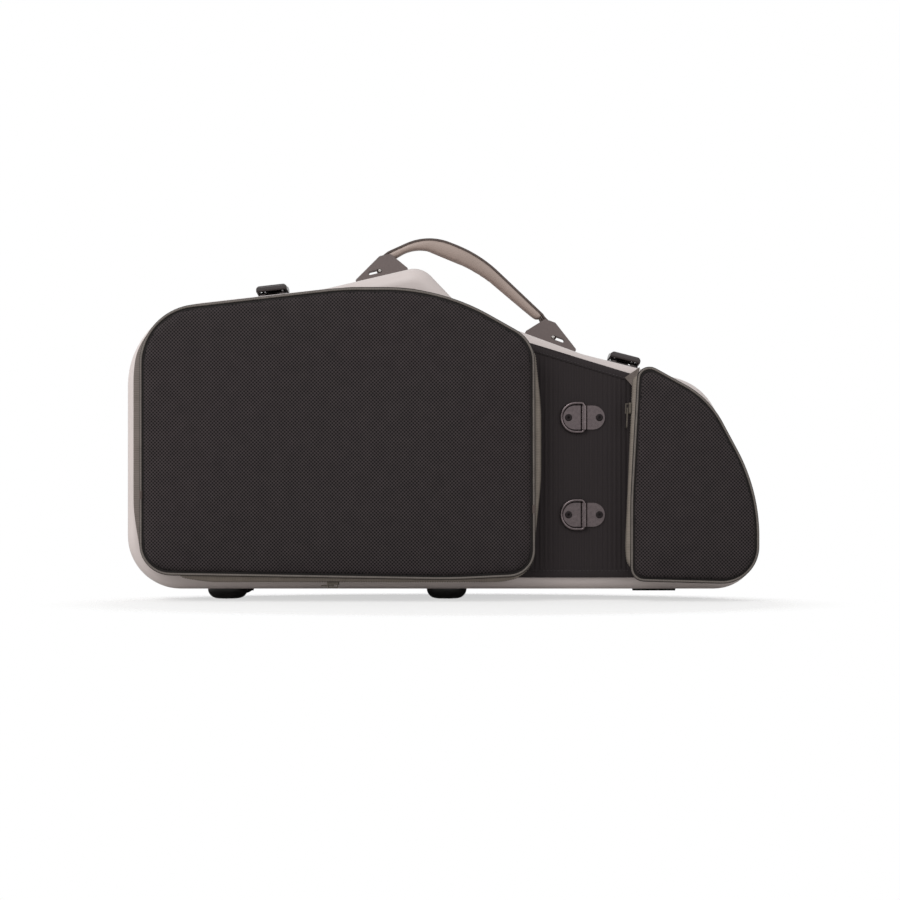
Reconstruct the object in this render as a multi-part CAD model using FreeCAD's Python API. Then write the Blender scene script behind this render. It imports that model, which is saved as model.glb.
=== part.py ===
import FreeCAD, Part
import math
import os

# A saxophone case with a moulded shell in two halves, standing on its feet.
# The pockets face -Y, the lid is the +Y half, and it swings on hinges along the bottom edge.
# The origin is the bottom centre of the case. All sizes are in millimetres.

os.makedirs("parts", exist_ok=True)
V = FreeCAD.Vector
SAME = 0.001

# Shell
SHELL_LENGTH = 631.0
SHELL_HEIGHT = 325.0
SHELL_BOTTOM = 8.5
BASE_DEPTH = 95.0
LID_DEPTH = 75.0
WALL = 3.0
EDGE_RADIUS = 14.0
RIM_PROUD = 2.5
RIM_WIDTH = 8.0
PARTING_GAP = 1.8
RELIEF_PROUD = 2.5
RELIEF_MARGIN = 44.0
SEAL_INSET = 2.9
SEAL_WIDTH = 2.2
SEAL_THICK = 1.5

# Sharp corners of the rim outline, along the bottom and then back over the top:
# share of the length from the middle, share of the height, and radius as a share of the height.
SHELL_CORNER_SHARES = [
    (-0.5, 0.0, 0.170),
    (0.5, 0.0, 0.146),
    (0.5, 0.319, 0.580),
    (0.4065, 0.638, 0.186),
    (0.2187, 0.731, 0.186),
    (0.035, 0.8615, 0.110),
    (-0.033, 1.0, 0.080),
    (-0.187, 0.930, 0.310),
    (-0.5, 0.8615, 0.262),
]

# Foam inserts, with the recess for the instrument
FOAM_GAP = 0.3
FOAM_SUNK = 4.0
BODY_RECESS_DEPTH = 58.0
BELL_RECESS_DEPTH = 74.0
NECK_RECESS_DEPTH = 38.0
LID_BODY_RECESS_DEPTH = 36.0
LID_BELL_RECESS_DEPTH = 52.0
# Recess outlines, as shares of the shell like the shell's own corners
BODY_RECESS_SHARES = [
    (-0.462, 0.075, 0.12),
    (0.455, 0.085, 0.08),
    (0.455, 0.320, 0.08),
    (-0.462, 0.420, 0.10),
]
BELL_RECESS_SHARES = [
    (-0.460, 0.300, 0.04),
    (-0.330, 0.300, 0.04),
    (-0.280, 0.520, 0.10),
    (-0.100, 0.480, 0.06),
    (-0.035, 0.420, 0.03),
    (-0.035, 0.930, 0.05),
    (-0.100, 0.870, 0.08),
    (-0.280, 0.790, 0.10),
    (-0.460, 0.720, 0.20),
]
NECK_RECESS_SHARES = [
    (0.050, 0.470, 0.05),
    (0.340, 0.420, 0.05),
    (0.340, 0.590, 0.05),
    (0.050, 0.690, 0.05),
]

# Feet
FOOT_RADIUS = 20.0
FOOT_FLAT_RADIUS = 9.0
FOOT_RIM = 2.0
FOOT_BULGE_SHARE = 0.72
FOOT_BORE_RADIUS = 4.2
FOOT_FLOOR = 3.0
FOOT_SCREW_HEAD = 2.2
FEET_X_SHARES = (-0.343, 0.005)
BASE_FOOT_BACK = 51.0
LID_FOOT_BACK = 38.5

# Hinges along the bottom
HINGE_X_SHARES = (-0.343, 0.341)
HINGE_LENGTH = 44.0
HINGE_NOTCH_GAP = 1.0
LEAF_THICK = 1.6
LEAF_DEPTH = 15.0
KNUCKLE_RADIUS = 3.0
KNUCKLE_DROP = 3.4
KNUCKLE_COUNT = 5
KNUCKLE_GAP = 0.3
HINGE_PIN_RADIUS = 1.5
PIN_RUNNING_GAP = 0.06

# Screws
SCREW_RADIUS = 1.6
SCREW_HEAD_RADIUS = 3.0
SCREW_HEAD = 1.2
SCREW_GAP = 0.05
SCREW_EDGE = 6.0

# Ribbed cover panel between the pockets
PANEL_THICK = 2.5
PANEL_CORNER_SHARES = [
    (0.1046, 0.0440, 0.0),
    (0.3265, 0.0440, 0.0),
    (0.3265, 0.6425, 0.0),
    (0.1046, 0.7738, 0.0),
]

# Pockets
POCKET_PROUD = 34.0
SMALL_POCKET_PROUD = 28.0
PIPING = 3.2
PIPING_ROUND = 1.3
POCKET_CROWN = 3.0
GUSSET_INSET = 1.6
GUSSET_WRAP = 12.0
LARGE_POCKET_SHARES = [
    (-0.4666, 0.065, 0.105),
    (0.0103, 0.047, 1.85),
    (0.1391, 0.059, 0.074),
    (0.1384, 0.756, 0.105),
    (-0.0044, 0.912, 0.630),
    (-0.1849, 0.911, 0.890),
    (-0.3856, 0.871, 0.178),
    (-0.4666, 0.754, 0.120),
]
SMALL_POCKET_SHARES = [
    (0.2935, 0.047, 0.037),
    (0.4848, 0.041, 0.114),
    (0.4848, 0.300, 0.480),
    (0.4062, 0.590, 0.178),
    (0.3043, 0.694, 0.043),
    (0.2943, 0.2855, 1.20),
]

# Zips
TAPE_WIDTH = 16.0
TAPE_ROOT = 10.0
TAPE_RISE = 10.0
COIL_WIDTH = 5.0
COIL_PROUD = 1.4
# The large zip's tape stands out of the gusset, from its bottom left end round to its top right end
LARGE_ZIP_START_SHARES = (-0.4310, 0.0338)
LARGE_ZIP_END_SHARES = (0.1513, 0.7000)
LARGE_ZIP_CORNER = 28.0
ZIP_TAPER = 16.0
SMALL_ZIP_TOP_SHARES = (0.2932, 0.5985)
SMALL_ZIP_FOOT_SHARES = (0.2826, 0.1215)
SLIDER_LENGTH = 12.0
SLIDER_WIDTH = 9.0
SLIDER_PLATE = 1.2
SLIDER_GAP = 0.3
SLIDER_FLANGE = 1.2
CROWN_WIDTH = 2.4
CROWN_HEIGHT = 3.2
CROWN_BAR = 1.0
CROWN_LENGTH = 10.0
PULL_AXLE_RADIUS = 0.8
PULL_THICK = 1.2
PULL_WIDTH = 5.6
PULL_TAIL = 0.85
PULL_ARM_GAP = 0.4
PULL_CLEAR_SHARE = 1.3
PULL_ROUND_SHARE = 0.9
SHORT_PULL = 12.0
LONG_PULL = 20.0
LARGE_SLIDER_SHARE = -0.1712
SMALL_SLIDER_DROP = 6.0

# D-ring fittings for a shoulder strap
RING_X_SHARE = 0.2195
RING_HEIGHT_SHARES = (0.5292, 0.2345)
RING_NAMES = ("upper", "lower")
RING_WIRE_RADIUS = 1.4
RING_REACH = 22.2
RING_SPAN = 28.4
RING_FAR_RADIUS = 14.0
RING_NEAR_RADIUS = 3.0
RING_GAP = 0.4
RING_PLATE_LENGTH = 41.0
RING_PLATE_HEIGHT = 23.6
RING_PLATE_THICK = 1.5
RIVET_SPACING = 30.4
RIVET_HEAD_RADIUS = 3.6
RIVET_HEAD = 1.1
RIVET_ROUND_SHARE = 0.8
RIVET_RADIUS = 2.0
RIVET_BORE_RADIUS = 1.3

# Carrying handle
HANDLE_FORWARD = 24.0
BRACKET_X_SHARES = (-0.0983, 0.1707)
BRACKET_LENGTH = 54.0
BRACKET_WIDTH = 26.0
BRACKET_PLATE = 2.0
EAR_THICK = 2.0
EAR_HEIGHT = 23.0
EAR_FOOT = 5.0
EAR_TOP_FROM = 2.0
EAR_TOP_TO = 13.0
EAR_ROUND = 2.0
SLOT_HEIGHT = 8.5
SLOT_INNER = 1.0
SLOT_OUTER = -13.0
SLOT_HALF_WIDTH = 1.9
STRAP_PIN_RADIUS = 1.6
STRAP_PIN_PROUD = 1.2
STRAP_THICK = 2.6
STRAP_GAP = 0.5
GRIP_ROUND = 3.0
# Sharp corners of the grip's side view, from pin to pin, clockwise from its left end:
# share of the distance along it, share of it above, and radius as a share of it
GRIP_CORNER_SHARES = [
    (0.036, 0.070, 0.008),
    (-0.006, 0.098, 0.010),
    (0.170, 0.277, 0.300),
    (0.470, 0.274, 0.700),
    (0.918, 0.088, 0.010),
    (0.884, 0.052, 0.008),
    (0.500, 0.195, 0.800),
    (0.130, 0.198, 0.200),
]

# Draw latches, in the latch's own frame: places along it are measured from the parting plane
LATCH_X_SHARES = (-0.2729, 0.2872)
LATCH_NAMES = ("left", "right")
LATCH_WIDTH = 31.0
LATCH_PLATE = 2.5
LATCH_PLATE_FRONT = 49.0
LATCH_PLATE_BACK = 11.0
LATCH_CORNER = 5.0
PIVOT_BACK = 13.0
PIVOT_HEIGHT = 4.0
PIVOT_PIN_RADIUS = 1.5
LUG_RADIUS = 3.2
LUG_THICK = 2.5
LUG_INSET = 3.5
LEVER_FRONT = 51.0
LEVER_TOP = 9.8
LEVER_SKIN = 2.0
LEVER_ROUND = 4.0
LEVER_LIP = 4.0
LEVER_HEEL = 0.6
BAIL_PIN_BACK = 23.0
BAIL_PIN_HEIGHT = 6.6
BAIL_PIN_RADIUS = 1.25
BAIL_EYE_RADIUS = 2.3
BAIL_WIDTH = 16.0
BAIL_UNDER = 6.0
BAIL_THICK = 1.8
BAIL_SLOT_GAP = 0.8
BAIL_SLOT_FRONT = 27.0
HOOK_FACE = 17.0
HOOK_THICK = 2.0
HOOK_TIP = 1.5
KEEPER_GAP = 0.4
KEEPER_LIP = 3.6
KEEPER_TOP = 4.8
KEEPER_FRONT = 11.0
KEEPER_BACK = 30.0
KEEPER_PLATE = 2.0
KEEPER_WIDTH = 26.0

OVERRUN = 60.0

FRONT = POCKET_PROUD - (POCKET_PROUD + BASE_DEPTH + LID_DEPTH) / 2
PARTING = FRONT + BASE_DEPTH
BACK = PARTING + LID_DEPTH
BASE_RIM = PARTING - PARTING_GAP / 2
LID_RIM = PARTING + PARTING_GAP / 2
WALL_BOTTOM = SHELL_BOTTOM + RIM_PROUD
HANDLE_Y = PARTING - HANDLE_FORWARD


def on_shell(x_share, z_share):
    """A place on the shell, from shares of its length from the middle and of its height."""
    return x_share * SHELL_LENGTH, SHELL_BOTTOM + z_share * SHELL_HEIGHT


def shell_shares(table):
    """Turns a table of shares of the shell into sharp corners in millimetres."""
    return [(*on_shell(x, z), radius * SHELL_HEIGHT) for x, z, radius in table]


def direction(start, end):
    return (V(end[0], 0, end[1]) - V(start[0], 0, start[1])).normalize()


def grown(corners, distance):
    """Sharp corners (x, z, radius) with every side moved outwards, or inwards by a negative distance.
    An outer corner's radius grows with it, and an inner corner's shrinks."""
    moved = []
    for i, (x, z, radius) in enumerate(corners):
        arriving = direction(corners[i - 1], corners[i])
        leaving = direction(corners[i], corners[(i + 1) % len(corners)])
        side = V(arriving.z, 0, -arriving.x)
        next_side = V(leaving.z, 0, -leaving.x)
        shift = (side + next_side) * (distance / (1 + side.dot(next_side)))
        turns_left = arriving.x * leaving.z > arriving.z * leaving.x
        new_radius = radius + distance if turns_left else radius - distance
        moved.append((x + shift.x, z + shift.z, max(new_radius, 0)))
    return moved


def share_of_room(side, reach, other_reach):
    """How much of two neighbouring roundings fits on the side between them."""
    return min(1, side / max(reach + other_reach, SAME))


def outline(corners, growth=0):
    """A closed wire in the XZ plane through sharp corners, each one rounded by its radius,
    or by as much of it as its two sides have room for.
    One that grows has its corners along the bottom first and then back over the top."""
    corners = grown(corners, growth)
    points = [V(x, 0, z) for x, z, _ in corners]
    sides = [point.distanceToPoint(points[i - 1]) for i, point in enumerate(points)]
    bends = []
    for i, (_, _, radius) in enumerate(corners):
        back = direction(corners[i], corners[i - 1])
        ahead = direction(corners[i], corners[(i + 1) % len(corners)])
        bends.append((back, ahead, back.getAngle(ahead) / 2, radius))
    reaches = [radius / math.tan(half) for _, _, half, radius in bends]
    arcs = []
    for i, (back, ahead, half, radius) in enumerate(bends):
        following = (i + 1) % len(corners)
        room = min(
            share_of_room(sides[i], reaches[i], reaches[i - 1]),
            share_of_room(sides[following], reaches[i], reaches[following]),
        )
        inward = (back + ahead).normalize()
        middle = points[i] + inward * (room * radius * (1 / math.sin(half) - 1))
        reach = room * reaches[i]
        arcs.append((points[i] + back * reach, middle, points[i] + ahead * reach))
    edges = []
    for i, (start, middle, end) in enumerate(arcs):
        following = arcs[(i + 1) % len(arcs)][0]
        if start.distanceToPoint(end) > SAME:
            edges.append(Part.Arc(start, middle, end).toShape())
        if end.distanceToPoint(following) > SAME:
            edges.append(Part.LineSegment(end, following).toShape())
    return Part.Wire(edges)


def slab(wire, y_from, y_to):
    """An XZ outline extruded between two places along Y."""
    face = Part.Face(wire)
    face.translate(V(0, y_from, 0))
    return face.extrude(V(0, y_to - y_from, 0))


def block(x_from, x_to, y_from, y_to, z_from, z_to):
    corner = V(x_from, y_from, z_from)
    return Part.makeBox(x_to - x_from, y_to - y_from, z_to - z_from, corner)


def rounded_at(solid, y, radius):
    """Rounds the edges that lie in one plane across Y."""
    edges = [e for e in solid.Edges if all(abs(v.Y - y) < SAME for v in e.Vertexes)]
    return solid.makeFillet(radius, edges)


def joined(shapes):
    """One solid from overlapping or touching solids."""
    result = shapes[0]
    if len(shapes) > 1:
        result = result.fuse(shapes[1:])
    return result.removeSplitter()


def group(shapes):
    """Separate solids that share one node."""
    return Part.makeCompound([s for shape in shapes for s in shape.Solids])


def rod_x(x_from, x_to, y, z, radius):
    return Part.makeCylinder(radius, x_to - x_from, V(x_from, y, z), V(1, 0, 0))


def rod_y(y_from, y_to, x, z, radius):
    return Part.makeCylinder(radius, y_to - y_from, V(x, y_from, z), V(0, 1, 0))


def rod_z(z_from, z_to, x, y, radius):
    return Part.makeCylinder(radius, z_to - z_from, V(x, y, z_from), V(0, 0, 1))


def side_profile(corners, width):
    """An outline drawn along Y and up Z, extruded both ways along X to a width."""
    solid = slab(outline(corners), -width / 2, width / 2)
    solid.rotate(V(0, 0, 0), V(0, 0, 1), 90)
    return solid


SHELL_CORNERS = shell_shares(SHELL_CORNER_SHARES)
LARGE_ZIP_LEFT, LARGE_ZIP_BOTTOM = on_shell(*LARGE_ZIP_START_SHARES)
LARGE_ZIP_SIDE, LARGE_ZIP_TOP = on_shell(*LARGE_ZIP_END_SHARES)
LARGE_SLIDER_X = LARGE_SLIDER_SHARE * SHELL_LENGTH
SMALL_ZIP_TOP = on_shell(*SMALL_ZIP_TOP_SHARES)
SMALL_ZIP_FOOT = on_shell(*SMALL_ZIP_FOOT_SHARES)
RING_PLACES = [on_shell(RING_X_SHARE, share) for share in RING_HEIGHT_SHARES]


def seat_on_top(x_share):
    """Where the rim's top line passes a place along the case: x, z and its slope in degrees."""
    x = x_share * SHELL_LENGTH
    for i in range(3, len(SHELL_CORNERS) - 1):
        right = SHELL_CORNERS[i]
        left = SHELL_CORNERS[i + 1]
        if left[0] <= x <= right[0]:
            rise = (right[1] - left[1]) / (right[0] - left[0])
            return x, left[1] + rise * (x - left[0]), math.degrees(math.atan(rise))


def placed(shape, seat, mirror=False):
    """Moves a shape from its own frame to a seat on the rim line. Mirrored, it faces -X."""
    x, z, slope = seat
    moved = shape.mirror(V(0, 0, 0), V(1, 0, 0)) if mirror else shape.copy()
    moved.rotate(V(0, 0, 0), V(0, 1, 0), -slope)
    moved.translate(V(x, 0, z))
    return moved


def placed_point(u, v, seat, mirror=False):
    """The same move for one point, given along the seat and outwards from it."""
    x, z, slope = seat
    along = -u if mirror else u
    turn = math.radians(slope)
    return V(
        x + along * math.cos(turn) - v * math.sin(turn),
        0,
        z + along * math.sin(turn) + v * math.cos(turn),
    )


def base_form(skin):
    """The outside of the base half, grown by the thickness of a skin laid on it."""
    form = slab(outline(SHELL_CORNERS, skin - RIM_PROUD), FRONT - skin, BASE_RIM)
    return rounded_at(form, FRONT - skin, EDGE_RADIUS + skin)


def hinge_places():
    return [share * SHELL_LENGTH for share in HINGE_X_SHARES]


def foot_places(y):
    return [(share * SHELL_LENGTH, y) for share in FEET_X_SHARES]


HINGE_Z = WALL_BOTTOM - KNUCKLE_DROP
BASE_FEET = foot_places(PARTING - BASE_FOOT_BACK)
LID_FEET = foot_places(PARTING + LID_FOOT_BACK)
RING_SEAT_Y = FRONT - PANEL_THICK


def hinge_notches(y_from, y_to):
    """The rim is cut away over each hinge so that its leaves lie on the wall."""
    reach = HINGE_LENGTH / 2 + HINGE_NOTCH_GAP
    return [
        block(x - reach, x + reach, y_from, y_to, SHELL_BOTTOM - RIM_PROUD, WALL_BOTTOM)
        for x in hinge_places()
    ]


def leaf_screw_places(y_leaf_from, y_leaf_to):
    y = (y_leaf_from + y_leaf_to) / 2
    reach = HINGE_LENGTH / 2 - SCREW_EDGE
    return [(x + side * reach, y) for x in hinge_places() for side in (-1, 1)]


BASE_LEAF = (PARTING - KNUCKLE_RADIUS - LEAF_DEPTH, PARTING - KNUCKLE_RADIUS - HINGE_NOTCH_GAP)
LID_LEAF = (PARTING + KNUCKLE_RADIUS + HINGE_NOTCH_GAP, PARTING + KNUCKLE_RADIUS + LEAF_DEPTH)
BASE_LEAF_SCREWS = leaf_screw_places(*BASE_LEAF)
LID_LEAF_SCREWS = leaf_screw_places(*LID_LEAF)


def bottom_holes(places):
    radius = SCREW_RADIUS + SCREW_GAP
    top = WALL_BOTTOM + WALL + SCREW_GAP
    return [rod_z(SHELL_BOTTOM - RIM_PROUD, top, x, y, radius) for x, y in places]


def bottom_screws(places, head_bottom):
    """Pan-head screws driven upwards into the wall. The head's top lies on what it holds."""
    screws = []
    for x, y in places:
        head = rod_z(head_bottom - SCREW_HEAD, head_bottom, x, y, SCREW_HEAD_RADIUS)
        shank = rod_z(head_bottom, WALL_BOTTOM + WALL, x, y, SCREW_RADIUS)
        screws.append(joined([head, shank]))
    return screws


def seated_screw(u, y, under_head):
    """A pan-head screw driven down into the wall, in the frame of a seat on the rim line."""
    wall_inside = -RIM_PROUD - WALL
    head = rod_z(under_head, under_head + SCREW_HEAD, u, y, SCREW_HEAD_RADIUS)
    shank = rod_z(wall_inside, under_head, u, y, SCREW_RADIUS)
    return joined([head, shank])


def seated_hole(u, y):
    wall_inside = -RIM_PROUD - WALL - SCREW_GAP
    return rod_z(wall_inside, PIVOT_HEIGHT, u, y, SCREW_RADIUS + SCREW_GAP)


def seated_holes(reach, y, seat):
    return [placed(seated_hole(u, y), seat) for u in (-reach, reach)]


LATCH_SEATS = [seat_on_top(share) for share in LATCH_X_SHARES]
BRACKET_SEATS = [seat_on_top(share) for share in BRACKET_X_SHARES]
LATCH_SCREW_U = LATCH_WIDTH / 2 - SCREW_EDGE
LATCH_SCREW_Y = PARTING - LATCH_PLATE_FRONT + SCREW_EDGE
KEEPER_SCREW_Y = PARTING + KEEPER_BACK - SCREW_EDGE
KEEPER_SCREW_U = KEEPER_WIDTH / 2 - SCREW_EDGE
BRACKET_SCREW_U = BRACKET_LENGTH / 2 - SCREW_EDGE


def base_holes():
    holes = bottom_holes(BASE_LEAF_SCREWS) + bottom_holes(BASE_FEET)
    for seat in LATCH_SEATS:
        holes += seated_holes(LATCH_SCREW_U, LATCH_SCREW_Y, seat)
    for seat in BRACKET_SEATS:
        holes += seated_holes(BRACKET_SCREW_U, HANDLE_Y, seat)
    return holes


def rivet_places():
    reach = RIVET_SPACING / 2
    return [(x + side * reach, z) for x, z in RING_PLACES for side in (-1, 1)]


def rivet_holes(y_from, y_to):
    radius = RIVET_RADIUS + SCREW_GAP
    return [rod_y(y_from, y_to, x, z, radius) for x, z in rivet_places()]


def make_base_shell():
    form = base_form(0)
    band = slab(outline(SHELL_CORNERS), BASE_RIM - RIM_WIDTH, BASE_RIM)
    inside = slab(outline(SHELL_CORNERS, -RIM_PROUD - WALL), FRONT + WALL, PARTING)
    inside = rounded_at(inside, FRONT + WALL, EDGE_RADIUS - WALL)
    shell = form.fuse(band).cut(inside)
    notches = hinge_notches(BASE_RIM - RIM_WIDTH, PARTING)
    return shell.cut(notches + base_holes() + rivet_holes(FRONT - WALL, FRONT + 2 * WALL))


def make_lid_shell():
    face = BACK - RELIEF_PROUD
    form = slab(outline(SHELL_CORNERS, -RIM_PROUD), LID_RIM, face)
    form = rounded_at(form, face, EDGE_RADIUS)
    band = slab(outline(SHELL_CORNERS), LID_RIM, LID_RIM + RIM_WIDTH)
    raised = slab(outline(SHELL_CORNERS, -RELIEF_MARGIN), face - WALL / 2, BACK)
    raised = rounded_at(raised, BACK, RELIEF_PROUD)
    inside = slab(outline(SHELL_CORNERS, -RIM_PROUD - WALL), PARTING, face - WALL)
    inside = rounded_at(inside, face - WALL, EDGE_RADIUS - WALL)
    shell = form.fuse([band, raised]).cut(inside)
    holes = bottom_holes(LID_LEAF_SCREWS) + bottom_holes(LID_FEET)
    for seat in LATCH_SEATS:
        holes += seated_holes(KEEPER_SCREW_U, KEEPER_SCREW_Y, seat)
    return shell.cut(hinge_notches(PARTING, LID_RIM + RIM_WIDTH) + holes)


def make_rim_seal():
    outside = outline(SHELL_CORNERS, -SEAL_INSET)
    inside = outline(SHELL_CORNERS, -SEAL_INSET - SEAL_WIDTH)
    seal = slab(outside, BASE_RIM, BASE_RIM + SEAL_THICK)
    return seal.cut(slab(inside, BASE_RIM - SEAL_THICK, PARTING + SEAL_THICK))


def recesses(y_open, depths):
    """The instrument's recesses, cut from the open face to each one's depth."""
    tables = (BODY_RECESS_SHARES, BELL_RECESS_SHARES, NECK_RECESS_SHARES)
    return [
        slab(outline(shell_shares(table)), y_open, y_open + depth)
        for table, depth in zip(tables, depths)
        if depth
    ]


def make_base_foam():
    front = FRONT + WALL + FOAM_GAP
    face = BASE_RIM - FOAM_SUNK
    foam = slab(outline(SHELL_CORNERS, -RIM_PROUD - WALL - FOAM_GAP), front, face)
    foam = rounded_at(foam, front, EDGE_RADIUS - WALL - FOAM_GAP)
    depths = (-BODY_RECESS_DEPTH, -BELL_RECESS_DEPTH, -NECK_RECESS_DEPTH)
    return foam.cut(recesses(face, depths))


def make_lid_foam():
    back = BACK - RELIEF_PROUD - WALL - FOAM_GAP
    face = LID_RIM + FOAM_SUNK
    foam = slab(outline(SHELL_CORNERS, -RIM_PROUD - WALL - FOAM_GAP), face, back)
    foam = rounded_at(foam, back, EDGE_RADIUS - WALL - FOAM_GAP)
    return foam.cut(recesses(face, (LID_BODY_RECESS_DEPTH, LID_BELL_RECESS_DEPTH, 0)))


def make_feet(places):
    """Rubber domes with a flat to stand on and a bore from below for the screw."""
    top = WALL_BOTTOM
    bulge = FOOT_FLAT_RADIUS + (FOOT_RADIUS - FOOT_FLAT_RADIUS) * FOOT_BULGE_SHARE
    middle = (top - FOOT_RIM) * (1 - FOOT_BULGE_SHARE)
    profile = Part.Wire(
        [
            Part.LineSegment(V(0, 0, 0), V(FOOT_FLAT_RADIUS, 0, 0)).toShape(),
            Part.Arc(
                V(FOOT_FLAT_RADIUS, 0, 0), V(bulge, 0, middle), V(FOOT_RADIUS, 0, top - FOOT_RIM)
            ).toShape(),
            Part.LineSegment(V(FOOT_RADIUS, 0, top - FOOT_RIM), V(FOOT_RADIUS, 0, top)).toShape(),
            Part.LineSegment(V(FOOT_RADIUS, 0, top), V(0, 0, top)).toShape(),
            Part.LineSegment(V(0, 0, top), V(0, 0, 0)).toShape(),
        ]
    )
    dome = Part.Face(profile).revolve(V(0, 0, 0), V(0, 0, 1), 360)
    bore = rod_z(-FOOT_FLOOR, top - FOOT_FLOOR, 0, 0, FOOT_BORE_RADIUS)
    hole = rod_z(0, top + FOOT_FLOOR, 0, 0, SCREW_RADIUS + SCREW_GAP)
    foot = dome.cut([bore, hole])
    return group([foot.translated(V(x, y, 0)) for x, y in places])


def knuckle_spans(first):
    """Alternate knuckles along each hinge, starting from the first or the second."""
    pitch = HINGE_LENGTH / KNUCKLE_COUNT
    spans = []
    for x in hinge_places():
        start = x - HINGE_LENGTH / 2
        for i in range(first, KNUCKLE_COUNT, 2):
            trim = KNUCKLE_GAP / 2
            spans.append((start + i * pitch + trim, start + (i + 1) * pitch - trim))
    return spans


def make_hinge_leaves(leaf, first, bore_radius, screw_places):
    top = WALL_BOTTOM
    under = WALL_BOTTOM - LEAF_THICK
    solids = []
    for x in hinge_places():
        pieces = [block(x - HINGE_LENGTH / 2, x + HINGE_LENGTH / 2, leaf[0], leaf[1], under, top)]
        for start, end in knuckle_spans(first):
            if abs((start + end) / 2 - x) < HINGE_LENGTH / 2:
                near = leaf[1] if leaf[1] < PARTING else leaf[0]
                pieces.append(rod_x(start, end, PARTING, HINGE_Z, KNUCKLE_RADIUS))
                ends = sorted((near, PARTING))
                root_top = HINGE_Z + KNUCKLE_RADIUS - SCREW_GAP
                pieces.append(block(start, end, ends[0], ends[1], under, root_top))
        solids.append(joined(pieces))
    cuts = [
        rod_x(x - HINGE_LENGTH / 2, x + HINGE_LENGTH / 2, PARTING, HINGE_Z, bore_radius)
        for x in hinge_places()
    ]
    cuts += bottom_holes(screw_places)
    return group([solid.cut(cuts) for solid in solids])


def make_hinge_pins():
    return group(
        [
            rod_x(x - HINGE_LENGTH / 2, x + HINGE_LENGTH / 2, PARTING, HINGE_Z, HINGE_PIN_RADIUS)
            for x in hinge_places()
        ]
    )


def make_foot_screws(places):
    screws = []
    seat = WALL_BOTTOM - FOOT_FLOOR
    for x, y in places:
        head = rod_z(seat - FOOT_SCREW_HEAD, seat, x, y, SCREW_HEAD_RADIUS)
        screws.append(joined([head, rod_z(seat, WALL_BOTTOM + WALL, x, y, SCREW_RADIUS)]))
    return group(screws)


def make_cover_panel():
    """Woven panel bonded to the base. It follows the shell over its rounded edges."""
    cut_out = outline(shell_shares(PANEL_CORNER_SHARES))
    skin = base_form(PANEL_THICK).cut(base_form(0))
    panel = skin.common(slab(cut_out, FRONT - OVERRUN, FRONT + GUSSET_WRAP))
    return panel.cut(rivet_holes(FRONT - OVERRUN, FRONT))


def make_pocket(table, proud, panel):
    """The stuffed pocket: a crowned mesh front inside the piping, and the gusset behind it."""
    corners = shell_shares(table)
    front = FRONT - proud
    piping_front = front + POCKET_CROWN
    mesh = slab(outline(corners, -PIPING), front, piping_front + PIPING)
    mesh = rounded_at(mesh, front, POCKET_CROWN - SAME)
    gusset = slab(outline(corners, -GUSSET_INSET), piping_front + PIPING, FRONT + GUSSET_WRAP)
    return mesh.fuse(gusset).removeSplitter().cut([base_form(0), panel])


def make_piping(table, proud):
    corners = shell_shares(table)
    start = FRONT - proud + POCKET_CROWN
    end = start + PIPING
    ring = rounded_at(slab(outline(corners), start, end), start, PIPING_ROUND)
    ring = rounded_at(ring, end, PIPING_ROUND)
    return ring.cut(slab(outline(corners, -PIPING), start - PIPING, end + PIPING))


def zip_tape(corners, middle_y, pocket):
    """The tape of a closed zip as it stands out of the gusset, with the coil along it."""
    tape = slab(outline(corners), middle_y - TAPE_WIDTH / 2, middle_y + TAPE_WIDTH / 2)
    teeth = outline(corners, COIL_PROUD)
    coil = slab(teeth, middle_y - COIL_WIDTH / 2, middle_y + COIL_WIDTH / 2)
    return tape.fuse(coil).cut(pocket)


LARGE_ZIP_Y = FRONT - POCKET_PROUD / 2
SMALL_ZIP_Y = FRONT - SMALL_POCKET_PROUD / 2


def make_large_zip(pocket):
    """An L along the bottom and up the right side, both runs straight."""
    inside_z = LARGE_ZIP_BOTTOM + COIL_WIDTH + TAPE_ROOT
    inside_x = LARGE_ZIP_SIDE - COIL_WIDTH - TAPE_ROOT
    corners = [
        (LARGE_ZIP_LEFT, LARGE_ZIP_BOTTOM + TAPE_RISE, 0),
        (LARGE_ZIP_LEFT + ZIP_TAPER, LARGE_ZIP_BOTTOM, ZIP_TAPER),
        (LARGE_ZIP_SIDE, LARGE_ZIP_BOTTOM, LARGE_ZIP_CORNER),
        (LARGE_ZIP_SIDE, LARGE_ZIP_TOP - ZIP_TAPER, ZIP_TAPER),
        (LARGE_ZIP_SIDE - TAPE_RISE, LARGE_ZIP_TOP, 0),
        (inside_x, LARGE_ZIP_TOP, 0),
        (inside_x, inside_z, 0),
        (LARGE_ZIP_LEFT, inside_z, 0),
    ]
    return zip_tape(corners, LARGE_ZIP_Y, pocket)


def make_small_zip(pocket):
    top_x, top_z = SMALL_ZIP_TOP
    foot_x, foot_z = SMALL_ZIP_FOOT
    corners = [
        (top_x + TAPE_RISE, top_z + ZIP_TAPER, 0),
        (top_x, top_z, ZIP_TAPER),
        (foot_x, foot_z, ZIP_TAPER),
        (foot_x + TAPE_RISE, foot_z - ZIP_TAPER, 0),
        (foot_x + TAPE_RISE + TAPE_ROOT, foot_z - ZIP_TAPER, 0),
        (top_x + TAPE_RISE + TAPE_ROOT, top_z + ZIP_TAPER, 0),
    ]
    return zip_tape(corners, SMALL_ZIP_Y, pocket)


CROWN_UNDER = COIL_PROUD + SLIDER_GAP + SLIDER_PLATE
PULL_AXIS = CROWN_UNDER + (CROWN_HEIGHT - CROWN_BAR) / 2


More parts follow.
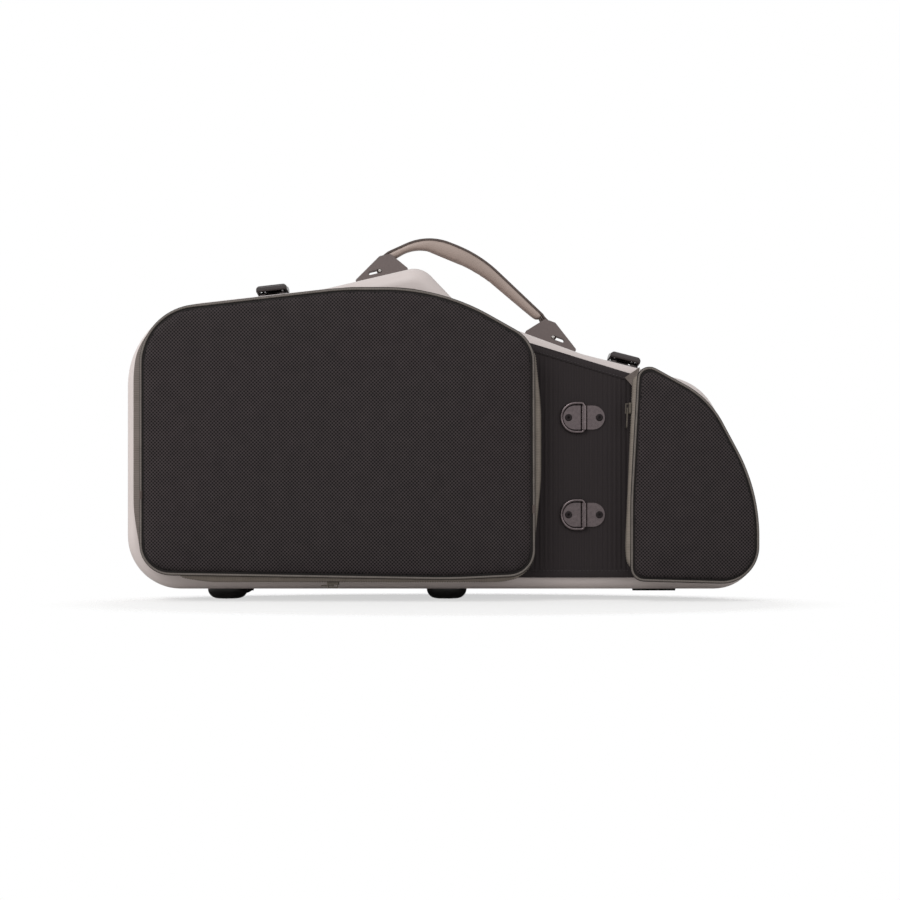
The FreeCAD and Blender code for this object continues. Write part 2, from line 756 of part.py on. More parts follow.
def slider_form():
    """A zip slider in its own frame: it runs along X on a coil whose tape is the plane Z = 0."""
    half_length = SLIDER_LENGTH / 2
    half_width = SLIDER_WIDTH / 2
    plan = outline(
        [
            (-half_length, -half_width, SLIDER_FLANGE),
            (half_length, -half_width, SLIDER_FLANGE * 2),
            (half_length, half_width, SLIDER_FLANGE * 2),
            (-half_length, half_width, SLIDER_FLANGE),
        ]
    )
    body = slab(plan, SLIDER_GAP, CROWN_UNDER)
    body.rotate(V(0, 0, 0), V(1, 0, 0), 90)
    inner = half_width - SLIDER_FLANGE
    channel = block(-SLIDER_LENGTH, SLIDER_LENGTH, -inner, inner, 0, COIL_PROUD + SLIDER_GAP)
    crown_top = CROWN_UNDER + CROWN_HEIGHT
    crown = block(
        -CROWN_LENGTH / 2, CROWN_LENGTH / 2, -CROWN_WIDTH / 2, CROWN_WIDTH / 2, CROWN_UNDER, crown_top
    )
    eye = block(
        CROWN_BAR - CROWN_LENGTH / 2,
        CROWN_LENGTH / 2 - CROWN_BAR,
        -CROWN_WIDTH,
        CROWN_WIDTH,
        CROWN_UNDER,
        crown_top - CROWN_BAR,
    )
    return joined([body.cut(channel), crown.cut(eye)])


def pull_form(length):
    """The pull in the slider's frame, lying along +X, with its axle under the crown."""
    half = PULL_WIDTH / 2
    low = PULL_AXIS - PULL_THICK / 2
    high = PULL_AXIS + PULL_THICK / 2
    gap_half = CROWN_WIDTH / 2 + PULL_ARM_GAP
    tab_from = CROWN_LENGTH / 2 * PULL_CLEAR_SHARE
    plan = outline(
        [
            (-PULL_TAIL, -half, PULL_THICK / 2),
            (length, -half, half * PULL_ROUND_SHARE),
            (length, half, half * PULL_ROUND_SHARE),
            (-PULL_TAIL, half, PULL_THICK / 2),
        ]
    )
    tab = slab(plan, low, high)
    tab.rotate(V(0, 0, 0), V(1, 0, 0), 90)
    tab = tab.cut(block(-2 * PULL_THICK, tab_from, -gap_half, gap_half, 0, 2 * PULL_AXIS))
    axle = rod_y(-half, half, 0, PULL_AXIS, PULL_AXLE_RADIUS)
    return joined([tab, axle])


def on_large_zip(shape, turned):
    """To the bottom run of the large pocket's zip, facing down."""
    moved = shape.copy()
    if turned:
        moved.rotate(V(0, 0, 0), V(0, 0, 1), 180)
    moved.rotate(V(0, 0, 0), V(1, 0, 0), 180)
    moved.translate(V(LARGE_SLIDER_X, LARGE_ZIP_Y, LARGE_ZIP_BOTTOM))
    return moved


def on_small_zip(shape):
    """To the top of the small pocket's zip, facing -X, with +X of its own frame turned down."""
    lean = math.degrees(
        math.atan2(SMALL_ZIP_TOP[0] - SMALL_ZIP_FOOT[0], SMALL_ZIP_TOP[1] - SMALL_ZIP_FOOT[1])
    )
    start = ZIP_TAPER / 2 + SMALL_SLIDER_DROP
    turn = math.radians(lean)
    moved = shape.copy()
    moved.rotate(V(0, 0, 0), V(1, 0, 0), 180)
    moved.rotate(V(0, 0, 0), V(0, 1, 0), 90 + lean)
    moved.translate(
        V(
            SMALL_ZIP_TOP[0] - start * math.sin(turn),
            SMALL_ZIP_Y,
            SMALL_ZIP_TOP[1] - start * math.cos(turn),
        )
    )
    return moved


RING_AXIS_Y = RING_SEAT_Y - RING_WIRE_RADIUS - RING_GAP


def make_ring_plate(x, z):
    """A pressed plate with two lobes and a bridge that holds the ring's straight leg."""
    half = RING_PLATE_LENGTH / 2
    tall = RING_PLATE_HEIGHT / 2
    corners = [
        (x - half, z - tall, tall - SAME),
        (x + half, z - tall, tall - SAME),
        (x + half, z + tall, tall - SAME),
        (x - half, z + tall, tall - SAME),
    ]
    lobes = slab(outline(corners), RING_SEAT_Y - RING_PLATE_THICK, RING_SEAT_Y)
    inner = RING_WIRE_RADIUS + RING_GAP
    outer = inner + RING_PLATE_THICK
    arch = rod_z(z - tall, z + tall, x, RING_AXIS_Y, outer)
    arch = arch.fuse(block(x - outer, x + outer, RING_AXIS_Y, RING_SEAT_Y, z - tall, z + tall))
    low = z - OVERRUN
    high = z + OVERRUN
    tunnel = rod_z(low, high, x, RING_AXIS_Y, inner)
    tunnel = tunnel.fuse(block(x - inner, x + inner, RING_AXIS_Y, RING_SEAT_Y + inner, low, high))
    back = block(x - OVERRUN, x + OVERRUN, RING_SEAT_Y, RING_SEAT_Y + OVERRUN, low, high)
    plate = joined([lobes, arch]).cut([tunnel, back])
    return plate.cut(rivet_holes(RING_SEAT_Y - OVERRUN, RING_SEAT_Y))


def wire_along(path, radius):
    """A round wire that follows a path of lines and arcs, one piece for each, joined."""
    pieces = []
    for edge in path.Edges:
        start = edge.valueAt(edge.FirstParameter)
        end = edge.valueAt(edge.LastParameter)
        along = edge.tangentAt(edge.FirstParameter)
        disc = Part.Face(Part.Wire([Part.Circle(start, along, radius).toShape()]))
        if isinstance(edge.Curve, Part.Circle):
            bend = math.degrees(edge.LastParameter - edge.FirstParameter)
            pieces.append(disc.revolve(edge.Curve.Center, edge.Curve.Axis, bend))
        else:
            pieces.append(disc.extrude(end - start))
    return joined(pieces)


def make_ring(x, z):
    """Bent wire: one straight leg in the bridge, lying to the left over the plate's lobe."""
    half = RING_SPAN / 2
    path = outline(
        [
            (x, z - half, RING_NEAR_RADIUS),
            (x, z + half, RING_NEAR_RADIUS),
            (x - RING_REACH, z + half, RING_FAR_RADIUS),
            (x - RING_REACH, z - half, RING_FAR_RADIUS),
        ]
    )
    return wire_along(path, RING_WIRE_RADIUS).translated(V(0, RING_AXIS_Y, 0))


def make_ring_rivets():
    """Tubular rivets through the plate, the panel and the wall."""
    rivets = []
    top = RING_SEAT_Y - RING_PLATE_THICK
    for x, z in rivet_places():
        head = rod_y(top - RIVET_HEAD, top, x, z, RIVET_HEAD_RADIUS)
        head = rounded_at(head, top - RIVET_HEAD, RIVET_HEAD * RIVET_ROUND_SHARE)
        shank = rod_y(top, FRONT + WALL, x, z, RIVET_RADIUS)
        bore = rod_y(top - 2 * RIVET_HEAD, top + RIVET_HEAD, x, z, RIVET_BORE_RADIUS)
        rivets.append(joined([head, shank]).cut(bore))
    return group(rivets)


def make_bracket(seat, mirror):
    """A folded bracket: a foot plate and two ears, each with a slot for the strap's pin."""
    half = BRACKET_LENGTH / 2
    floor = -RIM_PROUD
    ear = outline(
        [
            (-half, floor, 0),
            (half, floor, 0),
            (half, floor + EAR_FOOT, EAR_ROUND),
            (EAR_TOP_TO, floor + EAR_HEIGHT, EAR_ROUND),
            (EAR_TOP_FROM, floor + EAR_HEIGHT, EAR_ROUND),
            (-half, floor + EAR_FOOT, EAR_ROUND),
        ]
    )
    wide = BRACKET_WIDTH / 2
    front = slab(ear, HANDLE_Y - wide, HANDLE_Y - wide + EAR_THICK)
    rear = slab(ear, HANDLE_Y + wide - EAR_THICK, HANDLE_Y + wide)
    foot = block(-half, half, HANDLE_Y - wide, HANDLE_Y + wide, floor, floor + BRACKET_PLATE)
    slot = outline(
        [
            (SLOT_OUTER, floor + SLOT_HEIGHT - SLOT_HALF_WIDTH, SLOT_HALF_WIDTH - SAME),
            (SLOT_INNER, floor + SLOT_HEIGHT - SLOT_HALF_WIDTH, SLOT_HALF_WIDTH - SAME),
            (SLOT_INNER, floor + SLOT_HEIGHT + SLOT_HALF_WIDTH, SLOT_HALF_WIDTH - SAME),
            (SLOT_OUTER, floor + SLOT_HEIGHT + SLOT_HALF_WIDTH, SLOT_HALF_WIDTH - SAME),
        ]
    )
    cuts = [slab(slot, HANDLE_Y - OVERRUN, HANDLE_Y + OVERRUN)]
    cuts += [seated_hole(u, HANDLE_Y) for u in (-BRACKET_SCREW_U, BRACKET_SCREW_U)]
    return placed(joined([front, rear, foot]).cut(cuts), seat, mirror)


PIN_U = SLOT_INNER - SLOT_HALF_WIDTH
PIN_V = SLOT_HEIGHT - RIM_PROUD
LEFT_PIN = placed_point(PIN_U, PIN_V, BRACKET_SEATS[0])
RIGHT_PIN = placed_point(PIN_U, PIN_V, BRACKET_SEATS[1], True)
GRIP_HALF_WIDTH = BRACKET_WIDTH / 2 - EAR_THICK - STRAP_GAP


def grip_point(along, above):
    """A point of the grip's side view, from the shares of the distance between the pins."""
    chord = RIGHT_PIN - LEFT_PIN
    upright = V(-chord.z, 0, chord.x)
    return LEFT_PIN + chord * along + upright * above


def make_grip():
    """A padded grip that thins towards its two ends."""
    reach = LEFT_PIN.distanceToPoint(RIGHT_PIN)
    corners = []
    for along, above, radius in GRIP_CORNER_SHARES:
        point = grip_point(along, above)
        corners.append((point.x, point.z, radius * reach))
    low = HANDLE_Y - GRIP_HALF_WIDTH
    high = HANDLE_Y + GRIP_HALF_WIDTH
    grip = slab(outline(corners), low, high)
    return rounded_at(rounded_at(grip, low, GRIP_ROUND), high, GRIP_ROUND)


def make_strap_end(pin, end_top, end_under, grip):
    """The strap's looped end on its cross pin, with the tongue that runs up to the grip."""
    low = HANDLE_Y - GRIP_HALF_WIDTH
    high = HANDLE_Y + GRIP_HALF_WIDTH
    loop = rod_y(low, high, pin.x, pin.z, STRAP_PIN_RADIUS + STRAP_THICK)
    face_middle = (end_top + end_under) / 2
    run = face_middle - pin
    tongue = block(0, run.Length, low, high, -STRAP_THICK / 2, STRAP_THICK / 2)
    tongue.rotate(V(0, 0, 0), V(0, 1, 0), -math.degrees(math.atan2(run.z, run.x)))
    tongue.translate(V(pin.x, 0, pin.z))
    wide = BRACKET_WIDTH / 2 + STRAP_PIN_PROUD
    rod = rod_y(HANDLE_Y - wide, HANDLE_Y + wide, pin.x, pin.z, STRAP_PIN_RADIUS)
    return joined([loop, tongue.cut(grip), rod])


def make_bracket_screws():
    under_head = BRACKET_PLATE - RIM_PROUD
    return group(
        [
            placed(seated_screw(u, HANDLE_Y, under_head), seat)
            for seat in BRACKET_SEATS
            for u in (-BRACKET_SCREW_U, BRACKET_SCREW_U)
        ]
    )


def plan_slab(u_half, y_from, y_to, corner, v_from, v_to):
    """A plate with rounded corners in plan, in the frame of a seat on the rim line."""
    plate = block(-u_half, u_half, y_from, y_to, v_from, v_to)
    edges = [e for e in plate.Edges if abs(e.Vertexes[0].Z - e.Vertexes[-1].Z) > SAME]
    return plate.makeFillet(corner, edges)


def make_latch_base(seat):
    """A screwed plate with two lugs that carry the lever's pin."""
    top = LATCH_PLATE - RIM_PROUD
    plate = plan_slab(
        LATCH_WIDTH / 2,
        PARTING - LATCH_PLATE_FRONT,
        PARTING - LATCH_PLATE_BACK,
        LATCH_CORNER,
        -RIM_PROUD,
        top,
    )
    pieces = [plate]
    pivot_y = PARTING - PIVOT_BACK
    for side in (-1, 1):
        outer = side * (LATCH_WIDTH / 2 - LUG_INSET)
        inner = side * (LATCH_WIDTH / 2 - LUG_INSET - LUG_THICK)
        low, high = sorted((outer, inner))
        pieces.append(rod_x(low, high, pivot_y, PIVOT_HEIGHT, LUG_RADIUS))
        web_back = min(pivot_y + LUG_RADIUS, PARTING - LATCH_PLATE_BACK)
        pieces.append(block(low, high, pivot_y - LUG_RADIUS, web_back, top, PIVOT_HEIGHT))
    cuts = [rod_x(-LATCH_WIDTH, LATCH_WIDTH, pivot_y, PIVOT_HEIGHT, PIVOT_PIN_RADIUS)]
    cuts += [seated_hole(u, LATCH_SCREW_Y) for u in (-LATCH_SCREW_U, LATCH_SCREW_U)]
    return placed(joined(pieces).cut(cuts), seat)


def make_latch_lever(seat):
    """A channel-shaped lever. Its free end points forwards over a finger gap."""
    pivot_y = PARTING - PIVOT_BACK
    front = PARTING - LEVER_FRONT
    body = side_profile(
        [
            (front, LEVER_LIP, LEVER_SKIN),
            (pivot_y, LEVER_HEEL, 0),
            (pivot_y, LEVER_TOP, LEVER_SKIN),
            (front, LEVER_TOP, LEVER_SKIN),
        ],
        LATCH_WIDTH,
    )
    heel = rod_x(-LATCH_WIDTH / 2, LATCH_WIDTH / 2, pivot_y, PIVOT_HEIGHT, PIVOT_HEIGHT - LEVER_HEEL)
    face = outline(
        [
            (-LATCH_WIDTH / 2, LEVER_HEEL - LEVER_TOP, 0),
            (LATCH_WIDTH / 2, LEVER_HEEL - LEVER_TOP, 0),
            (LATCH_WIDTH / 2, LEVER_TOP, LEVER_ROUND),
            (-LATCH_WIDTH / 2, LEVER_TOP, LEVER_ROUND),
        ]
    )
    body = body.fuse(heel).common(slab(face, front, PARTING))
    inner = LATCH_WIDTH / 2 - LEVER_SKIN
    under_top = LEVER_TOP - LEVER_SKIN
    channel = block(-inner, inner, front + LEVER_SKIN, PARTING, -LEVER_TOP, under_top)
    slot_half = BAIL_WIDTH / 2 + BAIL_SLOT_GAP
    slot = block(-slot_half, slot_half, PARTING - BAIL_SLOT_FRONT, PARTING, 0, 2 * LEVER_TOP)
    bail_pin_y = PARTING - BAIL_PIN_BACK
    bore_radius = PIVOT_PIN_RADIUS + PIN_RUNNING_GAP
    pivot_bore = rod_x(-LATCH_WIDTH, LATCH_WIDTH, pivot_y, PIVOT_HEIGHT, bore_radius)
    bail_bore = rod_x(-LATCH_WIDTH, LATCH_WIDTH, bail_pin_y, BAIL_PIN_HEIGHT, BAIL_PIN_RADIUS)
    return placed(body.cut([channel, slot, pivot_bore, bail_bore]), seat)


def make_latch_bail(seat):
    """The pull-down hook: an eye on its pin, a flat arm over the rim and a turned-down hook."""
    pin_y = PARTING - BAIL_PIN_BACK
    eye = rod_x(-BAIL_WIDTH / 2, BAIL_WIDTH / 2, pin_y, BAIL_PIN_HEIGHT, BAIL_EYE_RADIUS)
    hook_y = PARTING + HOOK_FACE
    arm = side_profile(
        [
            (pin_y, BAIL_UNDER, 0),
            (hook_y, BAIL_UNDER, BAIL_THICK / 4),
            (hook_y, HOOK_TIP, 0),
            (hook_y + HOOK_THICK, HOOK_TIP, BAIL_THICK / 4),
            (hook_y + HOOK_THICK, BAIL_UNDER + BAIL_THICK, BAIL_THICK),
            (pin_y, BAIL_UNDER + BAIL_THICK, 0),
        ],
        BAIL_WIDTH,
    )
    bore = rod_x(-BAIL_WIDTH, BAIL_WIDTH, pin_y, BAIL_PIN_HEIGHT, BAIL_PIN_RADIUS + PIN_RUNNING_GAP)
    return placed(joined([eye, arm]).cut(bore), seat)


def make_latch_keeper(seat):
    """A screwed plate on the lid with the upstanding lip that the hook pulls against."""
    floor = -RIM_PROUD
    plate = plan_slab(
        KEEPER_WIDTH / 2,
        PARTING + KEEPER_FRONT,
        PARTING + KEEPER_BACK,
        LATCH_CORNER / 2,
        floor,
        floor + KEEPER_PLATE,
    )
    lip_back = PARTING + HOOK_FACE - KEEPER_GAP
    lip = block(
        -BAIL_WIDTH / 2, BAIL_WIDTH / 2, lip_back - KEEPER_LIP, lip_back, floor + KEEPER_PLATE, KEEPER_TOP
    )
    cuts = [seated_hole(u, KEEPER_SCREW_Y) for u in (-KEEPER_SCREW_U, KEEPER_SCREW_U)]
    return placed(joined([plate, lip]).cut(cuts), seat)


def make_pivot_pins():
    y = PARTING - PIVOT_BACK
    rod = rod_x(-LATCH_WIDTH / 2, LATCH_WIDTH / 2, y, PIVOT_HEIGHT, PIVOT_PIN_RADIUS)
    return group([placed(rod, seat) for seat in LATCH_SEATS])


def make_bail_pin(seat):
    y = PARTING - BAIL_PIN_BACK
    return placed(rod_x(-LATCH_WIDTH / 2, LATCH_WIDTH / 2, y, BAIL_PIN_HEIGHT, BAIL_PIN_RADIUS), seat)


def make_latch_screws():
    under_head = LATCH_PLATE - RIM_PROUD
    return group(
        [
            placed(seated_screw(u, LATCH_SCREW_Y, under_head), seat)
            for seat in LATCH_SEATS
            for u in (-LATCH_SCREW_U, LATCH_SCREW_U)
        ]
    )


def make_keeper_screws():
    under_head = KEEPER_PLATE - RIM_PROUD
    return group(
        [
            placed(seated_screw(u, KEEPER_SCREW_Y, under_head), seat)
            for seat in LATCH_SEATS
            for u in (-KEEPER_SCREW_U, KEEPER_SCREW_U)
        ]
    )


def all_parts():
    parts = {
        "base_shell": make_base_shell(),
        "lid_shell": make_lid_shell(),
        "rim_seal": make_rim_seal(),
        "base_foam": make_base_foam(),
        "lid_foam": make_lid_foam(),
        "base_feet": make_feet(BASE_FEET),
        "lid_feet": make_feet(LID_FEET),
        "base_foot_screws": make_foot_screws(BASE_FEET),
        "lid_foot_screws": make_foot_screws(LID_FEET),
    }
    parts["hinge_base_leaves"] = make_hinge_leaves(BASE_LEAF, 0, HINGE_PIN_RADIUS, BASE_LEAF_SCREWS)
    parts["hinge_lid_leaves"] = make_hinge_leaves(
        LID_LEAF, 1, HINGE_PIN_RADIUS + PIN_RUNNING_GAP, LID_LEAF_SCREWS
    )
    parts["hinge_pins"] = make_hinge_pins()
    leaf_under = WALL_BOTTOM - LEAF_THICK
    parts["hinge_base_screws"] = group(bottom_screws(BASE_LEAF_SCREWS, leaf_under))
    parts["hinge_lid_screws"] = group(bottom_screws(LID_LEAF_SCREWS, leaf_under))

    panel = make_cover_panel()
    large_pocket = make_pocket(LARGE_POCKET_SHARES, POCKET_PROUD, panel)
    small_pocket = make_pocket(SMALL_POCKET_SHARES, SMALL_POCKET_PROUD, panel)
    large_piping = make_piping(LARGE_POCKET_SHARES, POCKET_PROUD)
    small_piping = make_piping(SMALL_POCKET_SHARES, SMALL_POCKET_PROUD)
    parts["cover_panel"] = panel
    parts["large_pocket"] = large_pocket
    parts["small_pocket"] = small_pocket
    parts["large_pocket_piping"] = large_piping
    parts["small_pocket_piping"] = small_piping
    parts["large_pocket_zip"] = make_large_zip([large_pocket, large_piping])
    parts["small_pocket_zip"] = make_small_zip([small_pocket, small_piping])
    parts["large_zip_slider"] = on_large_zip(slider_form(), False)
    parts["large_zip_pull"] = on_large_zip(pull_form(SHORT_PULL), True)
    parts["small_zip_slider"] = on_small_zip(slider_form())
    parts["small_zip_pull"] = on_small_zip(pull_form(LONG_PULL))

    for name, (x, z) in zip(RING_NAMES, RING_PLACES):
        parts[f"d_ring_plate_{name}"] = make_ring_plate(x, z)
        parts[f"d_ring_{name}"] = make_ring(x, z)
    parts["d_ring_rivets"] = make_ring_rivets()

    parts["handle_bracket_left"] = make_bracket(BRACKET_SEATS[0], False)
    parts["handle_bracket_right"] = make_bracket(BRACKET_SEATS[1], True)
    grip = make_grip()
    left_top, left_under = (grip_point(*corner[:2]) for corner in GRIP_CORNER_SHARES[:2])
    right_top, right_under = (grip_point(*corner[:2]) for corner in GRIP_CORNER_SHARES[4:6])
    parts["handle_grip"] = grip
    parts["handle_strap_end_left"] = make_strap_end(LEFT_PIN, left_top, left_under, grip)
    parts["handle_strap_end_right"] = make_strap_end(RIGHT_PIN, right_top, right_under, grip)
    parts["handle_screws"] = make_bracket_screws()

    for name, seat in zip(LATCH_NAMES, LATCH_SEATS):
        parts[f"latch_{name}_base"] = make_latch_base(seat)
        parts[f"latch_{name}_lever"] = make_latch_lever(seat)
        parts[f"latch_{name}_bail"] = make_latch_bail(seat)
        parts[f"latch_{name}_bail_pin"] = make_bail_pin(seat)
        parts[f"latch_{name}_keeper"] = make_latch_keeper(seat)
    parts["latch_pivot_pins"] = make_pivot_pins()
    parts["latch_screws"] = make_latch_screws()
    parts["keeper_screws"] = make_keeper_screws()
    return parts


for name, shape in all_parts().items():
    shape.exportStep(f"parts/{name}.step")
    box = shape.BoundBox
    print(
        f"{name}: {len(shape.Solids)} solids, valid {shape.isValid()}, volume {shape.Volume:.0f}, "
        f"x {box.XMin:.1f} {box.XMax:.1f}, y {box.YMin:.1f} {box.YMax:.1f}, z {box.ZMin:.1f} {box.ZMax:.1f}"
    )
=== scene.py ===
# %% [markdown]
# This lesson dresses a hard case for a saxophone. Its rigid parts, such as the moulded shells, the
# hinges and the latches, are loaded as finished solids. The soft parts, the finishes, the light
# and the camera are made here, one cell at a time. Lengths are in metres, with Z up.
# %% Load the rigid parts
import math
import bmesh
import bpy
import numpy as np
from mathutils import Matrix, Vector


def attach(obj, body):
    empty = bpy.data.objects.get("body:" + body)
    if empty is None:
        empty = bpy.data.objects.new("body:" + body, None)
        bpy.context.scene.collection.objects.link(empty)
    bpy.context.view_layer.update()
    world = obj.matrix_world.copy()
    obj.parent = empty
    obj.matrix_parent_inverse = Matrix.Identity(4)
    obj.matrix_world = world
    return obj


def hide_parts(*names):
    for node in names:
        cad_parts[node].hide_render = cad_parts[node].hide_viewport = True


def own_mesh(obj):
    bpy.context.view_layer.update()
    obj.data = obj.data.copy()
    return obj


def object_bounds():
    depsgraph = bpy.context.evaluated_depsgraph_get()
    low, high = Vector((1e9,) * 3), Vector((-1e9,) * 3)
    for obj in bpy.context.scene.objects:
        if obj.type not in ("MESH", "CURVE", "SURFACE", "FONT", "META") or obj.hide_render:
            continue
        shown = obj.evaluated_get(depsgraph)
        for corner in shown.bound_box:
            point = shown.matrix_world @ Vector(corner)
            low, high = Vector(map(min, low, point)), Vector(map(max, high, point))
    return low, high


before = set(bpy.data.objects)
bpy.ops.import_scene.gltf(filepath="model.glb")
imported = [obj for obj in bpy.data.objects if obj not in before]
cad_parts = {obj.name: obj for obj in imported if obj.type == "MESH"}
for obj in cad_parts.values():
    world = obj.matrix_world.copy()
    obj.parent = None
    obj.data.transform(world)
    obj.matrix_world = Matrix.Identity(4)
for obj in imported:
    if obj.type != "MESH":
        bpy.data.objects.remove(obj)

for leftover in ("Cube", "Light", "Camera"):
    if leftover in bpy.data.objects:
        bpy.data.objects.remove(bpy.data.objects[leftover])
solid_box = [list(corner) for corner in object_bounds()]

# %% [markdown]
# The photograph was taken level, from straight in front and from far away, with a long lens. So the
# camera looks along +Y from 2.5 metres, and its lens is worked out from the width that it has to see.
# %% Camera
MM = 0.001
SENSOR = 36.0
VIEW_WIDTH = 892.9
VIEW_DISTANCE = 2500.0
CAMERA_PLACE = (6.5, -2554.0, 148.5)

camera = bpy.data.objects.new("camera", bpy.data.cameras.new("camera"))
bpy.context.scene.collection.objects.link(camera)
camera.location = [length * MM for length in CAMERA_PLACE]
camera.rotation_euler = (math.radians(90), 0, 0)
camera.data.sensor_width = SENSOR
camera.data.lens = SENSOR * VIEW_DISTANCE / VIEW_WIDTH
bpy.context.scene.camera = camera
print("lens:", round(camera.data.lens, 1), "mm")

# %% [markdown]
# A few small tools come first. Each operator works on whatever is selected, so one of them selects
# a single piece and nothing else. The others add a shape, add and apply modifiers, and run one
# mesh operator on a whole piece.
# %% Tools for selecting, applying and dressing
def only(piece):
    """Selects one piece and nothing else."""
    bpy.ops.object.select_all(action="DESELECT")
    piece.select_set(True)
    bpy.context.view_layer.objects.active = piece


def new_shape(name, operator, **settings):
    """Adds a primitive shape under a name."""
    bpy.ops.object.select_all(action="DESELECT")
    operator(**settings)
    piece = bpy.context.object
    piece.name = name
    return piece


def add_modifier(piece, kind, **settings):
    modifier = piece.modifiers.new(kind.lower(), kind)
    for name, value in settings.items():
        setattr(modifier, name, value)
    return modifier


def apply_modifiers(piece):
    only(piece)
    for modifier in list(piece.modifiers):
        bpy.ops.object.modifier_apply(modifier=modifier.name)


def edit_all(piece, operator, **settings):
    """Runs one mesh operator on all points of a piece."""
    only(piece)
    bpy.ops.object.mode_set(mode="EDIT")
    bpy.ops.mesh.select_all(action="SELECT")
    operator(**settings)
    bpy.ops.object.mode_set(mode="OBJECT")


def settle(piece):
    """Puts a piece's place into its mesh, so that its object sits at the origin, unturned and unscaled."""
    only(piece)
    bpy.ops.object.transform_apply(location=True, rotation=True, scale=True)


def stand_up(piece):
    """Turns a piece that was made lying flat, with Y for its height, to face the front."""
    piece.rotation_euler.x = math.radians(90)
    settle(piece)


def dress(piece, material, body, smooth=40):
    """Gives a finished piece its material, its smoothing, and the body that it moves with."""
    only(piece)
    bpy.ops.object.shade_smooth_by_angle(angle=math.radians(smooth))
    piece.data.materials.clear()
    piece.data.materials.append(material)
    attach(piece, body)
    print(piece.name, len(piece.data.polygons), "faces")


# %% [markdown]
# Colours are picked as sRGB hex values, the way a colour picker shows them, and the shader wants
# linear light, so one function turns them. Another one adds any node, sets its values and links it.
# Most materials share three more steps: a noise, a blend of two colours, and a fine relief.
# %% Tools for materials
def linear(hex_colour):
    """Turns an sRGB hex colour into the linear values that a shader reads."""
    shares = [int(hex_colour[i : i + 2], 16) / 255 for i in (1, 3, 5)]
    turned = [s / 12.92 if s <= 0.04045 else ((s + 0.055) / 1.055) ** 2.4 for s in shares]
    return (*turned, 1.0)


def add_node(tree, kind, settings=None, links=None):
    """Adds a node with its settings, and links sources to its inputs."""
    made = tree.nodes.new(kind)
    for name, value in (settings or {}).items():
        if isinstance(name, int) or name in made.inputs:
            made.inputs[name].default_value = value
        else:
            setattr(made, name, value)
    for name, source in (links or {}).items():
        tree.links.new(source, made.inputs[name])
    return made


def start_material(name, metallic, roughness, colour):
    """A new material with one shader, and the values that are the same all over it."""
    material = bpy.data.materials.new(name)
    material.use_nodes = True
    shader = material.node_tree.nodes["Principled BSDF"]
    shader.inputs["Metallic"].default_value = metallic
    shader.inputs["Roughness"].default_value = roughness
    shader.inputs["Base Color"].default_value = linear(colour)
    return material, material.node_tree, shader


def wave_scale(spacing):
    """The scale of a wave texture whose bands lie a spacing in millimetres apart."""
    return math.pi / (10 * spacing * MM)


def per_metre(spacing):
    """A pattern's scale from its real spacing in millimetres."""
    return 1 / (spacing * MM)


def place_on(tree):
    """The place of a point on its object, in metres."""
    return add_node(tree, "ShaderNodeTexCoord").outputs["Object"]


def noise(tree, place, spacing, detail):
    """A noise with a spacing in millimetres."""
    settings = {"Scale": per_metre(spacing), "Detail": detail}
    return add_node(tree, "ShaderNodeTexNoise", settings, {"Vector": place}).outputs["Fac"]


def blend(tree, dark, light, share):
    """A colour between two hex colours."""
    settings = {"data_type": "RGBA", 6: linear(dark), 7: linear(light)}
    return add_node(tree, "ShaderNodeMix", settings, {0: share}).outputs[2]


def vary_roughness(tree, shader, low, high, pattern):
    """Lets the roughness follow a noise, whose values lie mostly between 0.3 and 0.7."""
    settings = {"From Min": 0.3, "From Max": 0.7, "To Min": low, "To Max": high}
    varied = add_node(tree, "ShaderNodeMapRange", settings, {"Value": pattern})
    tree.links.new(varied.outputs["Result"], shader.inputs["Roughness"])


def finish_surface(tree, shader, colour, height, strength, depth):
    """Links a colour to the shader, and a relief with its depth in millimetres."""
    settings = {"Strength": strength, "Distance": depth * MM}
    relief = add_node(tree, "ShaderNodeBump", settings, {"Height": height})
    tree.links.new(colour, shader.inputs["Base Color"])
    tree.links.new(relief.outputs["Normal"], shader.inputs["Normal"])


# %% [markdown]
# The shells are moulded ABS with a silver paint. Up close such a mould leaves a fine leather-like
# grain, and from a step away it reads as a soft satin. The grain is drawn at 1.6 mm instead of the
# real half millimetre, because anything finer wouldn't show. A broad, faint cloudiness and a little
# change in gloss keep the large plain areas from looking like one flat colour.
# %% Painted ABS
painted_abs, tree, shader = start_material("painted_abs", 0.0, 0.42, "#cbc1be")
place = place_on(tree)
grain = noise(tree, place, 1.6, 3.0)
cloud = noise(tree, place, 90, 2.0)
vary_roughness(tree, shader, 0.38, 0.48, grain)
finish_surface(tree, shader, blend(tree, "#c6bcb9", "#d2c7c4", cloud), grain, 0.25, 0.08)
print("painted ABS is ready")

# %% [markdown]
# The pockets are faced with spacer mesh, a thick knit with a small hole between every four yarns.
# Its holes lie in diagonal rows. The pattern is read from the piece's own UV map, which is in
# metres, so that it follows the cloth round the pocket's side. A Mapping node turns it by 45 degrees
# and scales it to one cell for each hole, and the distance from a cell's middle gives the hole.
# %% Spacer mesh
MESH_PITCH = 2.42
HOLE_EDGE, YARN_EDGE = 0.18, 0.58

